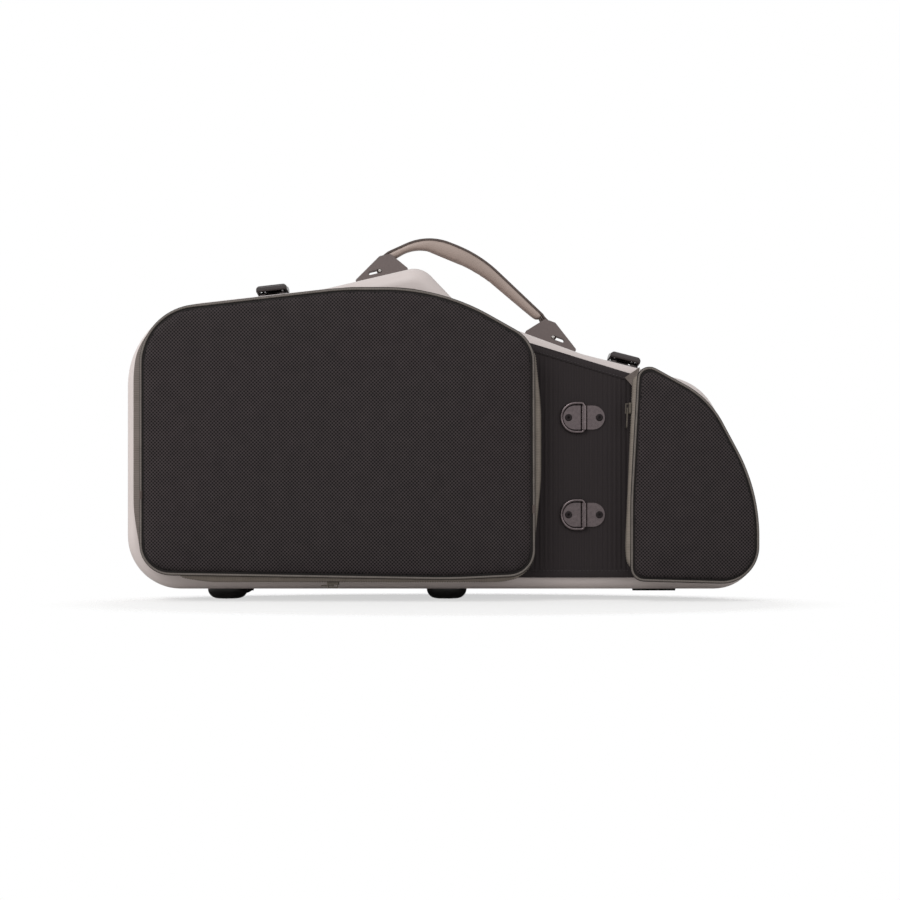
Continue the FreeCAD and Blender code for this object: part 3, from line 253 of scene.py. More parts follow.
spacer_mesh, tree, shader = start_material("spacer_mesh", 0.0, 0.85, "#3f3738")
shader.inputs["Specular IOR Level"].default_value = 0.2
cloth_uv = add_node(tree, "ShaderNodeUVMap", {"uv_map": "UVMap"}).outputs["UV"]
turn = {"Rotation": (0, 0, math.radians(45)), "Scale": (per_metre(MESH_PITCH),) * 3}
turned = add_node(tree, "ShaderNodeMapping", turn, {"Vector": cloth_uv}).outputs["Vector"]
cell = add_node(tree, "ShaderNodeVectorMath", {"operation": "FRACTION"}, {0: turned}).outputs["Vector"]
to_middle = {"operation": "SUBTRACT", 1: (0.5, 0.5, 0.0)}
from_middle = add_node(tree, "ShaderNodeVectorMath", to_middle, {0: cell}).outputs["Vector"]
distance = add_node(tree, "ShaderNodeVectorMath", {"operation": "LENGTH"}, {0: from_middle}).outputs["Value"]
edges = {"interpolation_type": "SMOOTHSTEP", "From Min": HOLE_EDGE, "From Max": YARN_EDGE}
yarn = add_node(tree, "ShaderNodeMapRange", edges, {"Value": distance}).outputs["Result"]
yarn_colour = blend(tree, "#363031", "#473f40", noise(tree, cloth_uv, 14, 4.0))
hole = {"data_type": "RGBA", 6: linear("#040303")}
knit = add_node(tree, "ShaderNodeMix", hole, {0: yarn, 7: yarn_colour}).outputs[2]
finish_surface(tree, shader, knit, yarn, 0.6, 0.5)
print("spacer mesh holes every", MESH_PITCH, "mm")

# %% [markdown]
# The panel between the pockets is a heavy ribbed nylon. The ribs themselves are modelled, so the
# material only adds the threads: upright ones along the ribs and fainter ones across. Threads half
# a millimetre apart are too fine for the picture, so they are drawn 1.6 mm apart.
# %% Ribbed nylon
CROSS_SHARE = 0.25

ribbed_nylon, tree, shader = start_material("ribbed_nylon", 0.0, 0.8, "#2c2628")
shader.inputs["Specular IOR Level"].default_value = 0.25
place = place_on(tree)
threads = []
for direction in ("X", "Z"):
    wave = {"bands_direction": direction, "Scale": wave_scale(1.6), "Distortion": 1.0}
    threads.append(add_node(tree, "ShaderNodeTexWave", wave, {"Vector": place}).outputs["Fac"])
crossing = {"data_type": "FLOAT", 0: CROSS_SHARE}
weave = add_node(tree, "ShaderNodeMix", crossing, {2: threads[0], 3: threads[1]}).outputs["Result"]
finish_surface(tree, shader, blend(tree, "#211c1d", "#2e2829", weave), weave, 0.4, 0.2)
print("ribbed nylon is ready")

# %% [markdown]
# The piping, the gussets and the zip tapes are narrow woven polyester in an olive grey. They share
# one kind of pattern, cross threads along the piece's own length, so one function makes them, with
# their own colours and thread spacing. The first UV direction runs along each strip.
# %% Woven tapes
def woven_tape(name, dark, light, spacing, depth):
    """Polyester tape with raised cross threads, their spacing and depth in millimetres."""
    material, tree, shader = start_material(name, 0.0, 0.7, light)
    shader.inputs["Specular IOR Level"].default_value = 0.25
    strip_uv = add_node(tree, "ShaderNodeUVMap", {"uv_map": "UVMap"}).outputs["UV"]
    wave = {"wave_type": "BANDS", "bands_direction": "X", "Scale": wave_scale(spacing), "Distortion": 0.6}
    cross = add_node(tree, "ShaderNodeTexWave", wave, {"Vector": strip_uv}).outputs["Fac"]
    wear = noise(tree, strip_uv, 9, 5.0)
    mixed = add_node(tree, "ShaderNodeMath", {"operation": "MULTIPLY_ADD", 1: 0.6}, {0: cross, 2: wear})
    colour = blend(tree, dark, light, mixed.outputs["Value"])
    finish_surface(tree, shader, colour, cross, 0.5, depth)
    return material


piping_tape = woven_tape("piping_tape", "#4b4642", "#736c67", 1.6, 0.1)
# Nearly black tape for the piping's flange: painted shade for the shadowed seam on both sides of the cord
seam_tape = woven_tape("seam_tape", "#0f0d0c", "#1d1918", 1.6, 0.1)
gusset_tape = woven_tape("gusset_tape", "#433d38", "#6e6560", 1.8, 0.1)
zip_tape = woven_tape("zip_tape", "#5b534d", "#867d74", 1.6, 0.1)
webbing = woven_tape("webbing", "#4a413e", "#5a4f4b", 1.6, 0.05)
print("five woven tapes are ready")

# %% [markdown]
# The grip is a foam pad wrapped in soft vinyl with a fine pebble grain. A Voronoi texture gives the
# pebbles: its distance is lowest in the middle of each cell, so the edges become the fine creases.
# %% Vinyl
grip_vinyl, tree, shader = start_material("grip_vinyl", 0.0, 0.42, "#9d8c84")
place = place_on(tree)
pebbles = add_node(tree, "ShaderNodeTexVoronoi", {"Scale": per_metre(1.8)}, {"Vector": place})
hide = blend(tree, "#93837b", "#a9988f", noise(tree, place, 30, 3.0))
finish_surface(tree, shader, hide, pebbles.outputs["Distance"], 0.25, 0.1)
print("vinyl is ready")


# %% [markdown]
# Metals and plain plastics differ mostly in colour and gloss. Each one gets a fine noise that
# changes its roughness and lifts its surface a little, because a real plated or moulded surface
# is never perfectly even. A metal keeps the usual index of refraction.
# %% Metals, plastics and rubber
def plain_surface(name, metallic, smoothest, roughest, dark, light, spacing, depth):
    """A hard surface whose colour and roughness vary a little, with a fine relief in millimetres."""
    material, tree, shader = start_material(name, metallic, (smoothest + roughest) / 2, light)
    speckle = noise(tree, place_on(tree), spacing, 4.0)
    vary_roughness(tree, shader, smoothest, roughest, speckle)
    finish_surface(tree, shader, blend(tree, dark, light, speckle), speckle, 0.3, depth)
    return material


# Black nickel on pressed steel: a dark mirror that reads as warm grey under a white light
black_nickel = plain_surface("black_nickel", 1.0, 0.22, 0.34, "#544c4e", "#756b6c", 3.0, 0.02)
# The rivets' rolled rims and heads are nearly black and less glossy: the dark colour is painted shade for
# their shadowed rims and hollows
rivet_painted_shade = plain_surface("rivet_painted_shade", 1.0, 0.4, 0.55, "#1c191a", "#3a3536", 2.0, 0.03)
# Powder-coated steel: an even satin with the faint orange peel of the coat
coated_steel = plain_surface("coated_steel", 0.35, 0.38, 0.5, "#5f5553", "#6e6361", 2.0, 0.06)
# Black zinc on the screws, hinges and latch wires: dark, cloudy, and worn a little paler in spots
black_zinc = plain_surface("black_zinc", 1.0, 0.3, 0.45, "#3f3a3a", "#5a5353", 4.0, 0.02)
# Bright zinc on the two pins that the handle slides on, where rubbing keeps it polished
bright_zinc = plain_surface("bright_zinc", 1.0, 0.22, 0.35, "#a8a4a0", "#c4c0bc", 4.0, 0.02)
# Die-cast zip hardware with a gunmetal wash
die_cast = plain_surface("die_cast", 1.0, 0.3, 0.42, "#4d4843", "#69625a", 2.0, 0.03)
# Glass-filled nylon: nearly black, with a soft shine on its moulded edges
moulded_nylon = plain_surface("moulded_nylon", 0.0, 0.25, 0.38, "#2c2727", "#3b3434", 1.5, 0.05)
# Black rubber: smooth from the mould, with a clear highlight
rubber = plain_surface("rubber", 0.0, 0.3, 0.45, "#151313", "#221f1f", 2.5, 0.05)
# Polyester coil: the small shiny loops of a closed zip
coil_polyester = plain_surface("coil_polyester", 0.0, 0.3, 0.4, "#453f39", "#6e675e", 3.0, 0.03)
# Sewing thread, waxed and dark
thread = plain_surface("thread", 0.0, 0.5, 0.6, "#262122", "#342e2f", 1.0, 0.05)
print("ten plain surfaces are ready")

# %% [markdown]
# The lining is velour, a short dense pile. Pile catches light at its edges, which is what sheen is
# for, and it lies in patches where hands have brushed it, which a broad noise stands in for.
# %% Velour
velour, tree, shader = start_material("velour", 0.0, 0.95, "#2b282b")
shader.inputs["Sheen Weight"].default_value = 0.6
shader.inputs["Sheen Roughness"].default_value = 0.3
place = place_on(tree)
pile = noise(tree, place, 2.2, 5.0)
brushed = noise(tree, place, 60, 2.0)
finish_surface(tree, shader, blend(tree, "#232024", "#39353a", brushed), pile, 0.5, 0.4)
print("velour is ready")

# %% [markdown]
# The rigid parts keep their shapes and only get these materials, each by its record's slot.
# %% Finish the rigid parts
SLOT_FINISHES = {
    "silver_shell": painted_abs,
    "black_nickel": black_nickel,
    "bracket_steel": coated_steel,
    "screw_steel": black_zinc,
    "zip_metal": die_cast,
    "latch_plastic": moulded_nylon,
    "foot_rubber": rubber,
    "seal_rubber": rubber,
    "foam_lining": velour,
    "black_mesh": spacer_mesh,
    "ribbed_nylon": ribbed_nylon,
    "olive_piping": piping_tape,
    "zip_tape": zip_tape,
    "grip_vinyl": grip_vinyl,
    "strap_black": webbing,
}
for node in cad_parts.values():
    for holder in node.material_slots:
        holder.material = SLOT_FINISHES[holder.material.name.split(".")[0]]
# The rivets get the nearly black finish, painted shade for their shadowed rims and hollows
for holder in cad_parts["d_ring_rivets"].material_slots:
    holder.material = rivet_painted_shade
print("finished", len(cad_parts), "rigid parts")

# %% [markdown]
# The soft pieces follow the same outlines as the pockets and the shell. An outline is drawn as by
# hand: a flat face with a point at each sharp corner, and then each corner is bevelled. On a corner
# that isn't square a bevel is a little off a true arc, so its points are moved onto the circle.
# Each pocket has two outlines: that of its solid, and the fuller one of the stuffed cloth, which
# reaches right to the shell's edge at the case's two ends.
# %% Draw an outline
ARC_STEP = 3.0
LARGE_STEP, SMALL_STEP, SHELL_STEP = 4 * MM, 3 * MM, 5 * MM


def draw_outline(corners):
    """Points in metres round an outline, from its sharp corners (x, z, radius) in millimetres."""
    count = len(corners)
    face = new_shape("outline", bpy.ops.mesh.primitive_circle_add, vertices=count, fill_type="NGON")
    for vertex, (x, z, _) in zip(face.data.vertices, corners):
        vertex.co = (x * MM, z * MM, 0)
    bpy.ops.object.mode_set(mode="EDIT")
    bpy.ops.mesh.select_mode(type="VERT")
    for i, (x, z, radius) in enumerate(corners):
        here = Vector((x, z))
        before = here - Vector(corners[i - 1][:2])
        after = Vector(corners[(i + 1) % count][:2]) - here
        half_turn = before.angle(after) / 2
        if radius > 0:
            bpy.ops.mesh.select_all(action="DESELECT")
            shape = bmesh.from_edit_mesh(face.data)
            nearest = min(shape.verts, key=lambda v: (v.co.to_2d() - here * MM).length)
            nearest.select_set(True)
            bmesh.update_edit_mesh(face.data)
            steps = max(2, round(2 * half_turn * radius / ARC_STEP))
            reach = radius * math.tan(half_turn) * MM
            bpy.ops.mesh.bevel(offset=reach, segments=steps, affect="VERTICES")
            inward = (after.normalized() - before.normalized()).normalized()
            centre = (here + inward * radius / math.cos(half_turn)) * MM
            shape = bmesh.from_edit_mesh(face.data)
            for rounded in [v for v in shape.verts if v.select]:
                spoke = (rounded.co.to_2d() - centre).normalized() * radius * MM
                rounded.co = (centre + spoke).to_3d()
            bmesh.update_edit_mesh(face.data)
    bpy.ops.object.mode_set(mode="OBJECT")
    order = face.data.polygons[0].vertices
    points = np.array([face.data.vertices[i].co[:2] for i in order])
    bpy.data.objects.remove(face)
    return points


def steps_of(line, closed):
    """The lengths of a line's steps from point to point."""
    ring = np.vstack([line, line[:1]]) if closed else line
    return np.linalg.norm(np.diff(ring, axis=0), axis=1)


def reached_along(line, closed=True):
    """How far along the line each point lies. A closed line's first point comes again at its end."""
    return np.concatenate([[0], np.cumsum(steps_of(line, closed))])


def even_steps(points, step, closed=True, inside=None):
    """The same line with its points a step apart, and the unit directions that point out of it."""
    ring = np.vstack([points, points[:1]]) if closed else points
    reached = reached_along(points, closed)
    count = max(4, round(reached[-1] / step))
    wanted = np.linspace(0, reached[-1], count + 1)
    evened = np.column_stack([np.interp(wanted, reached, ring[:, k]) for k in (0, 1)])
    if closed:
        evened = evened[:-1]
        ahead = np.roll(evened, -1, axis=0) - np.roll(evened, 1, axis=0)
    else:
        ahead = np.gradient(evened, axis=0)
    ahead /= np.linalg.norm(ahead, axis=1)[:, None]
    out = np.column_stack([ahead[:, 1], -ahead[:, 0]])
    middle = points.mean(axis=0) if inside is None else np.array(inside) * MM
    if ((evened - middle) * out).sum() < 0:
        out = -out
    return evened, out


LARGE_SOLID_CORNERS = [
    (-294.4, 29.6, 34.1),
    (6.5, 23.8, 601.2),
    (87.8, 27.7, 24.0),
    (87.3, 254.2, 34.1),
    (-2.8, 304.9, 204.8),
    (-116.7, 304.6, 289.2),
    (-243.3, 291.6, 57.8),
    (-294.4, 253.6, 39.0),
]
LARGE_CORNERS = [
    (-294.4, 28.8, 28.5),
    *LARGE_SOLID_CORNERS[1:5],
    (-99.5, 304.9, 289.2),
    (-294.5, 282.5, 56.5),
]
SMALL_SOLID_CORNERS = [
    (185.2, 23.8, 12.0),
    (305.9, 21.8, 37.1),
    (305.9, 106.0, 156.0),
    (256.3, 200.2, 57.8),
    (192.0, 234.0, 14.0),
    (185.7, 101.3, 390.0),
]
SMALL_CORNERS = [
    (184.2, 21.5, 12.0),
    (307.6, 18.3, 35.0),
    (307.6, 108.5, 178.0),
    (259.4, 198.4, 90.0),
    (191.6, 235.8, 11.0),
    (184.4, 101.3, 390.0),
]
SHELL_CORNERS = [
    (-315.5, 8.5, 55.3),
    (315.5, 8.5, 47.4),
    (315.5, 112.2, 188.5),
    (256.5, 215.8, 60.5),
    (138.0, 246.1, 60.5),
    (22.1, 288.5, 35.8),
    (-20.8, 333.5, 26.0),
    (-118.0, 310.8, 100.8),
    (-315.5, 288.5, 85.2),
]
LARGE_SEAM = 0.8
large_solid_line, _ = even_steps(draw_outline(LARGE_SOLID_CORNERS), LARGE_STEP)
small_solid_line, _ = even_steps(draw_outline(SMALL_SOLID_CORNERS), SMALL_STEP)
large_line, large_out = even_steps(draw_outline(LARGE_CORNERS), LARGE_STEP)
large_line = large_line + large_out * LARGE_SEAM * MM
small_line, small_out = even_steps(draw_outline(SMALL_CORNERS), SMALL_STEP)
shell_line, shell_out = even_steps(draw_outline(SHELL_CORNERS), SHELL_STEP)
print("points round the pockets and the shell:", len(large_line), len(small_line), len(shell_line))


# %% [markdown]
# A strip of cloth is a grid whose columns follow a line and whose rows run across it. Each row says
# how far out of the line it lies and how deep. The same tool makes a flat tape, a bulging gusset,
# and a round cord, whose rows go all the way round. Its UV map is in metres along and across.
# %% Lay a strip
def places_of(piece):
    places = np.empty(len(piece.data.vertices) * 3)
    piece.data.vertices.foreach_get("co", places)
    return places.reshape(-1, 3)


def set_places(piece, places):
    piece.data.vertices.foreach_set("co", places.ravel())
    piece.data.update()


def new_grid(name, columns, rows):
    """A flat grid, one metre square."""
    grid_add = bpy.ops.mesh.primitive_grid_add
    return new_shape(name, grid_add, x_subdivisions=columns, y_subdivisions=rows, size=1)


def lay_strip(name, line, out, rows, closed=False, round_section=False):
    """A strip along a line. rows has for each row (and each point) how far out it lies, and its y."""
    rows = np.asarray(rows, float)
    if rows.ndim == 2:
        rows = np.repeat(rows[:, None, :], len(line), axis=1)
    around = len(line) if closed else len(line) - 1
    across = len(rows) - 1
    strip = new_grid(name, around, across)
    mesh = strip.data
    grid = places_of(strip)[:, :2] + 0.5
    column = np.rint(grid[:, 0] * around).astype(int)
    row = np.rint(grid[:, 1] * across).astype(int)
    point = column % len(line)
    proud = rows[row, point, 0]
    flat = line[point] + out[point] * proud[:, None]
    set_places(strip, np.column_stack([flat[:, 0], rows[row, point, 1], flat[:, 1]]))
    along = reached_along(line)
    over = reached_along(rows[:, 0, :], closed=False)
    corners = np.array([loop.vertex_index for loop in mesh.loops])
    layer = mesh.uv_layers.active
    layer.name = "UVMap"
    layer.data.foreach_set("uv", np.column_stack([along[column[corners]], over[row[corners]]]).ravel())
    facing = 0.0
    for face in mesh.polygons:
        away = out[point[face.vertices[0]]]
        facing += face.area * (face.normal.x * away[0] + face.normal.z * away[1])
    edit_all(strip, bpy.ops.mesh.remove_doubles, threshold=1e-6)
    if round_section:
        edit_all(strip, bpy.ops.mesh.normals_make_consistent, inside=False)
    elif facing < 0:
        edit_all(strip, bpy.ops.mesh.flip_normals)
    return strip


def both_halves(half, middle):
    """A strip's rows across its middle, from one half's (proud, across) pairs in millimetres."""
    whole = half + [(proud, -across) for proud, across in half[-2::-1]]
    return [(proud * MM, middle + across * MM) for proud, across in whole]


def section(radius, proud, depth, sides=12, flatten=1.0):
    """Rows that go once round a cord, at its place out of the line and its depth."""
    angles = np.linspace(0, 2 * math.pi, sides + 1)
    return np.column_stack([proud + radius * np.cos(angles), depth + flatten * radius * np.sin(angles)])


print("the strip tool is ready")

# %% [markdown]
# Each pocket is a bag sewn round a stiff board, with foam behind its mesh. It starts as a copy of
# the pocket's solid, and a voxel remesh turns it into even faces, which a cloth simulation needs.
# Its edge is moved out to the fuller outline, and its sides are drawn in towards the back, where the
# gusset goes round them. Air pressure then swells the front between its sewn edges, as the foam does
# on the real one. Everything but the front is held still, and no point may move past a set distance.
# %% Swell a pocket's front
FRAMES = 20
SWELL_PRESSURE = 4.0
BATCH = 4000
LARGE_FRONT, SMALL_FRONT = -102 * MM, -96 * MM
SEAM_DEPTH = 1.2
FILL_REACH = 60.0
DRAWN_FROM, DRAWN_TO = 12.0, -68.0
DRAWN_IN, DRAWN_REACH = 9.0, 24.0


def copy_solid(node_name, name, voxel):
    """A merged copy of a rigid part, remeshed into even faces."""
    copy = bpy.data.objects.new(name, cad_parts[node_name].data.copy())
    bpy.context.scene.collection.objects.link(copy)
    edit_all(copy, bpy.ops.mesh.remove_doubles, threshold=1e-5)
    add_modifier(copy, "REMESH", mode="VOXEL", voxel_size=voxel, use_smooth_shade=True)
    apply_modifiers(copy)
    return copy


def swell(piece, held, cap):
    """Blows a piece up like a cushion, with some points held and every move capped."""
    before = places_of(piece)
    sewn = piece.vertex_groups.new(name="sewn")
    sewn.add([int(i) for i in np.flatnonzero(held)], 1.0, "REPLACE")
    cloth = add_modifier(piece, "CLOTH")
    cloth.settings.use_pressure = True
    cloth.settings.uniform_pressure_force = SWELL_PRESSURE
    cloth.settings.vertex_group_mass = "sewn"
    cloth.settings.effector_weights.gravity = 0
    cloth.point_cache.frame_end = FRAMES
    for number in range(1, FRAMES + 1):
        bpy.context.scene.frame_set(number)
    apply_modifiers(piece)
    bpy.context.scene.frame_set(1)
    moves = places_of(piece) - before
    sizes = np.linalg.norm(moves, axis=1)
    shares = np.minimum(1, cap / np.maximum(sizes, 1e-9))
    set_places(piece, before + moves * shares[:, None])
    piece.vertex_groups.clear()
    print(piece.name, "swelled by up to", round(sizes.max() * 1000, 1), "mm before the cap")


def smooth_over(piece, times):
    """Evens out the small steps that a voxel remesh leaves."""
    add_modifier(piece, "SMOOTH", iterations=times, factor=0.5)
    apply_modifiers(piece)


def refine(piece):
    add_modifier(piece, "SUBSURF", levels=1, render_levels=1)
    apply_modifiers(piece)


def nearest_on(line, flat_places):
    """For each place, which of the line's points is nearest, and how far away it is."""
    index = np.empty(len(flat_places), int)
    distance = np.empty(len(flat_places))
    for start in range(0, len(flat_places), BATCH):
        part = flat_places[start : start + BATCH]
        gaps = np.linalg.norm(part[:, None, :] - line[None, :, :], axis=2)
        index[start : start + BATCH] = gaps.argmin(axis=1)
        distance[start : start + BATCH] = gaps.min(axis=1)
    return index, distance


def ease(share):
    """Turns a straight rise from 0 to 1 into a smooth one."""
    share = np.clip(share, 0, 1)
    return share * share * (3 - 2 * share)


def map_cloth(piece, line):
    """A UV map in metres: flat on the front, and wound round the line on the side."""
    mesh = piece.data
    places = places_of(piece)
    nearest, _ = nearest_on(line, places[:, (0, 2)])
    along = reached_along(line)
    layer = mesh.uv_layers.get("UVMap") or mesh.uv_layers.new(name="UVMap")
    uv = np.empty((len(mesh.loops), 2))
    for face in mesh.polygons:
        loops = list(face.loop_indices)
        corners = [mesh.loops[i].vertex_index for i in loops]
        if abs(face.normal.y) > 0.6:
            uv[loops] = places[corners][:, (0, 2)]
        else:
            wound = along[nearest[corners]]
            if wound.max() - wound.min() > along[-1] / 2:
                wound = np.where(wound < along[-1] / 2, wound + along[-1], wound)
            uv[loops, 0] = wound
            uv[loops, 1] = places[corners][:, 1]
    layer.data.foreach_set("uv", uv.ravel())


def fill_out(piece, old_line, new_line):
    """Moves a piece's edge from one outline to another, and the cloth near it by less and less."""
    new_places, _ = even_steps(new_line, 0.5 * MM)
    pulls = new_places[nearest_on(new_places, old_line)[0]] - old_line
    places = places_of(piece)
    nearest, gaps = nearest_on(old_line, places[:, (0, 2)])
    places[:, (0, 2)] += pulls[nearest] * ease(1 - gaps / (FILL_REACH * MM))[:, None]
    set_places(piece, places)


def draw_in_back(piece, line, front, back):
    """Draws the sides in towards the back, so that the gusset goes round them at every depth."""
    fine_line, out = even_steps(line, 2 * MM)
    places = places_of(piece)
    nearest, gaps = nearest_on(fine_line, places[:, (0, 2)])
    depth = np.clip((places[:, 1] - front) / (back - front), 0, 1)
    near = 1 - np.clip(gaps / (DRAWN_REACH * MM), 0, 1)
    places[:, (0, 2)] -= out[nearest] * (DRAWN_IN * MM * depth * near)[:, None]
    set_places(piece, places)


def make_pocket(node_name, solid_outline, line, front, voxel, cap):
    """The stuffed pocket behind its piping."""
    pocket = copy_solid(node_name, node_name + "_mesh", voxel)
    smooth_over(pocket, 3)
    fill_out(pocket, solid_outline, line)
    draw_in_back(pocket, line, front + DRAWN_FROM * MM, DRAWN_TO * MM)
    held = places_of(pocket)[:, 1] > front + SEAM_DEPTH * MM
    swell(pocket, held, cap)
    smooth_over(pocket, 2)
    refine(pocket)
    map_cloth(pocket, line)
    dress(pocket, spacer_mesh, "base", 180)
    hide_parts(node_name)


make_pocket("large_pocket", large_solid_line, large_line, LARGE_FRONT, voxel=4.5 * MM, cap=7 * MM)
make_pocket("small_pocket", small_solid_line, small_line, SMALL_FRONT, voxel=3.5 * MM, cap=6 * MM)

# %% [markdown]
# Piping is a thin cord wrapped in tape and sewn into the edge. The cord is a round strip that follows the
# outline, a little inside it. The tape's two layers go on past the cord as a flat flange, which lies in the
# seam on both sides of the cord. The flange is coloured nearly black, which is painted shade: it draws the
# dark shadowed line along both sides of the cord.
# %% Piping
PIPE = 1.6
CORD = 1.0
CORD_INSET = 0.2
FLANGE_ROWS = [(-3.4, 1.9), (-PIPE, 2.2), (0.3, 2.2), (1.4, 2.7), (1.5, 5.0)]
PIPING_BEHIND = 3 * MM


def make_piping(pocket_name, line, out, front):
    rows = section(CORD * MM, -CORD_INSET * MM, front + PIPE * MM)
    cord = lay_strip(pocket_name + "_cord", line, out, rows, closed=True, round_section=True)
    dress(cord, piping_tape, "base", 180)
    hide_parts(pocket_name + "_piping")
    rows = [(proud * MM, front + depth * MM) for proud, depth in FLANGE_ROWS]
    # The flange's nearly black colour is painted shade in the seam beside the cord
    flange = lay_strip(pocket_name + "_cord_flange", line, out, rows, closed=True)
    dress(flange, seam_tape, "base", 60)


make_piping("large_pocket", large_line, large_out, LARGE_FRONT + PIPING_BEHIND)
make_piping("small_pocket", small_line, small_out, SMALL_FRONT + PIPING_BEHIND)

# %% [markdown]
# The gusset is the band that joins the pocket's front to the shell. It is stretched only at its two
# sewn edges, so it bulges between them, most of all along the left side of the large pocket, where
# nothing stiffens it. Its depth is cut into rows, a half wave pushes the middle ones out, and small
# waves on top of it are the folds along its length. Its back edge lies on the shell, at a depth that
# a ray from the front finds. Where the pocket reaches past the shell's rounded edge it is tucked in.
# %% Gussets
GUSSET_BEHIND = 5.6 * MM
GUSSET_SUNK = 1.0 * MM
GUSSET_ROWS = 21
SHELL_GAP = 0.4 * MM
SHELL_EDGE = -54.0
FOLD_SHARE, FOLD_LIMIT = 0.16, 1.0 * MM
TUCK_START, TUCK_OVER, TUCK = 68 * MM, 14 * MM, 6 * MM
EVEN_BULGE, LEFT_BULGE, TOP_BULGE = 0.8, 9.6, 3.2


def ramp(values, start, end):
    """Rises smoothly from 0 at the start to 1 at the end, both in millimetres."""
    return ease((values / MM - start) / (end - start))


def window(values, low, high, soft):
    """1 between low and high, fading to 0 inside both ends, all in millimetres."""
    return ramp(values, low, low + soft) * (1 - ramp(values, high - soft, high))


def surface_behind(node_name, x, z, last, stand_in):
    """The y where a ray from the front meets a rigid part before the last y, or else a stand-in."""
    found, place, _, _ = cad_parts[node_name].ray_cast((x, -0.2, z), (0, 1, 0))
    return place.y if found and place.y < last * MM else stand_in * MM


def make_gusset(name, line, out, front, bulge):
    shares = np.linspace(0, 1, GUSSET_ROWS)
    inner = line - out * GUSSET_SUNK
    back = [surface_behind("base_shell", x, z, SHELL_EDGE, SHELL_EDGE) + SHELL_GAP for x, z in inner]
    back = np.convolve(np.concatenate([back[-3:], back, back[:3]]), np.ones(7) / 7, mode="valid")
    past = np.clip((back + TUCK_START) / TUCK_OVER, 0, 1) * TUCK
    rows = np.empty((len(shares), len(line), 2))
    for i, share in enumerate(shares):
        folds = np.minimum(bulge * FOLD_SHARE, FOLD_LIMIT) * (1 - math.cos(6 * math.pi * share))
        rows[i, :, 0] = bulge * math.sin(math.pi * share) - GUSSET_SUNK - folds - past * share**3
        rows[i, :, 1] = front + (back - front) * share
    gusset = lay_strip(name, line, out, rows, closed=True)
    dress(gusset, gusset_tape, "base", 60)


across, up = large_line[:, 0], large_line[:, 1]
left_side = window(up, 25, 291, 75) * window(across, -500, -250, 30)
top_side = window(across, -130, 10, 40) * (up > 0.25)
large_bulge = (EVEN_BULGE + LEFT_BULGE * left_side + TOP_BULGE * top_side) * MM
small_bulge = np.full(len(small_line), EVEN_BULGE * MM)
make_gusset("large_pocket_gusset", large_line, large_out, LARGE_FRONT + GUSSET_BEHIND, large_bulge)
make_gusset("small_pocket_gusset", small_line, small_out, SMALL_FRONT + GUSSET_BEHIND, small_bulge)

# %% [markdown]
# A closed zip stands out of its gusset as a low arch of tape, with the coil along its crest. It
# sinks into the pocket at both ends. The line comes from a drawn outline, of which only the part
# along the crest is used. One tooth is modelled, then an Array modifier repeats it and a Curve
# modifier bends the row along the line.
# %% Zips
TOOTH_PITCH = 2.4
TOOTH_SIZE = (1.3, 1.7, 5.0)
COIL_SUNK = 0.3
ZIP_STEP = 2.5 * MM
SIDE_DIP, LEFT_DIP = 6.3, 4.5
FOOT_DIP, TOP_DIP = 3.0, 5.0
TAPE_ARCH = [(-9, -8), (-4.5, -7.7), (-1.6, -6.8), (-0.5, -5), (0, -2.5), (0, 0)]
LARGE_ZIP_CORNERS = [
    (-272.0, 29.5, 0),
    (-256.0, 19.5, 16),
    (95.5, 19.5, 28),
    (95.5, 244.0, 20),
    (84.0, 264.0, 0),
    (76.0, 264.0, 0),
    (76.0, 34.5, 0),
    (-272.0, 34.5, 0),
]
SMALL_ZIP_CORNERS = [
    (191.0, 229.0, 0),
    (185.75, 221.0, 8),
    (177.9, 38.0, 14),
    (187.0, 23.0, 0),
    (198.3, 23.0, 0),
    (205.0, 229.0, 0),
]


def part_of(points, start, end, through):
    """The part of a closed outline that runs from one place to another through a third."""
    places = [np.linalg.norm(points - np.array(p[:2]) * MM, axis=1).argmin() for p in (start, end, through)]
    first, last, between = places
    size = len(points)
    ahead = [(first + k) % size for k in range((last - first) % size + 1)]
    if between not in ahead:
        ahead = [(first - k) % size for k in range((first - last) % size + 1)]
    return points[ahead]


def make_guide(line):
    """A flat curve for a Curve modifier to follow."""
    edges = [(i, i + 1) for i in range(len(line) - 1)]
    mesh = bpy.data.meshes.new("guide")
    mesh.from_pydata([(x, z, 0) for x, z in line], edges, [])
    guide = bpy.data.objects.new("guide", mesh)
    bpy.context.scene.collection.objects.link(guide)
    only(guide)
    bpy.ops.object.convert(target="CURVE")
    guide.data.dimensions = "2D"
    return guide


def repeat_along(item, line, pitch):
    """Repeats an item, modelled lying flat with X along the line, at an even pitch along it."""
    guide = make_guide(line)
    array = add_modifier(item, "ARRAY", use_relative_offset=False, use_constant_offset=True)
    array.constant_offset_displace = (pitch, 0, 0)
    array.count = int(steps_of(line, False).sum() // pitch)
    add_modifier(item, "CURVE", object=guide, deform_axis="POS_X")
    apply_modifiers(item)
    bpy.data.objects.remove(guide)
    stand_up(item)
    return item


def make_tooth(name, depth):
    """One loop of the coil, a small bar with rounded edges, lying flat at its depth."""
    size = [length * MM for length in TOOTH_SIZE]
    place = (TOOTH_PITCH / 2 * MM, 0, -depth)
    tooth = new_shape(name, bpy.ops.mesh.primitive_cube_add, size=1, scale=size, location=place)
    settle(tooth)
    edit_all(tooth, bpy.ops.mesh.bevel, offset=0.4 * MM, segments=1)
    return tooth


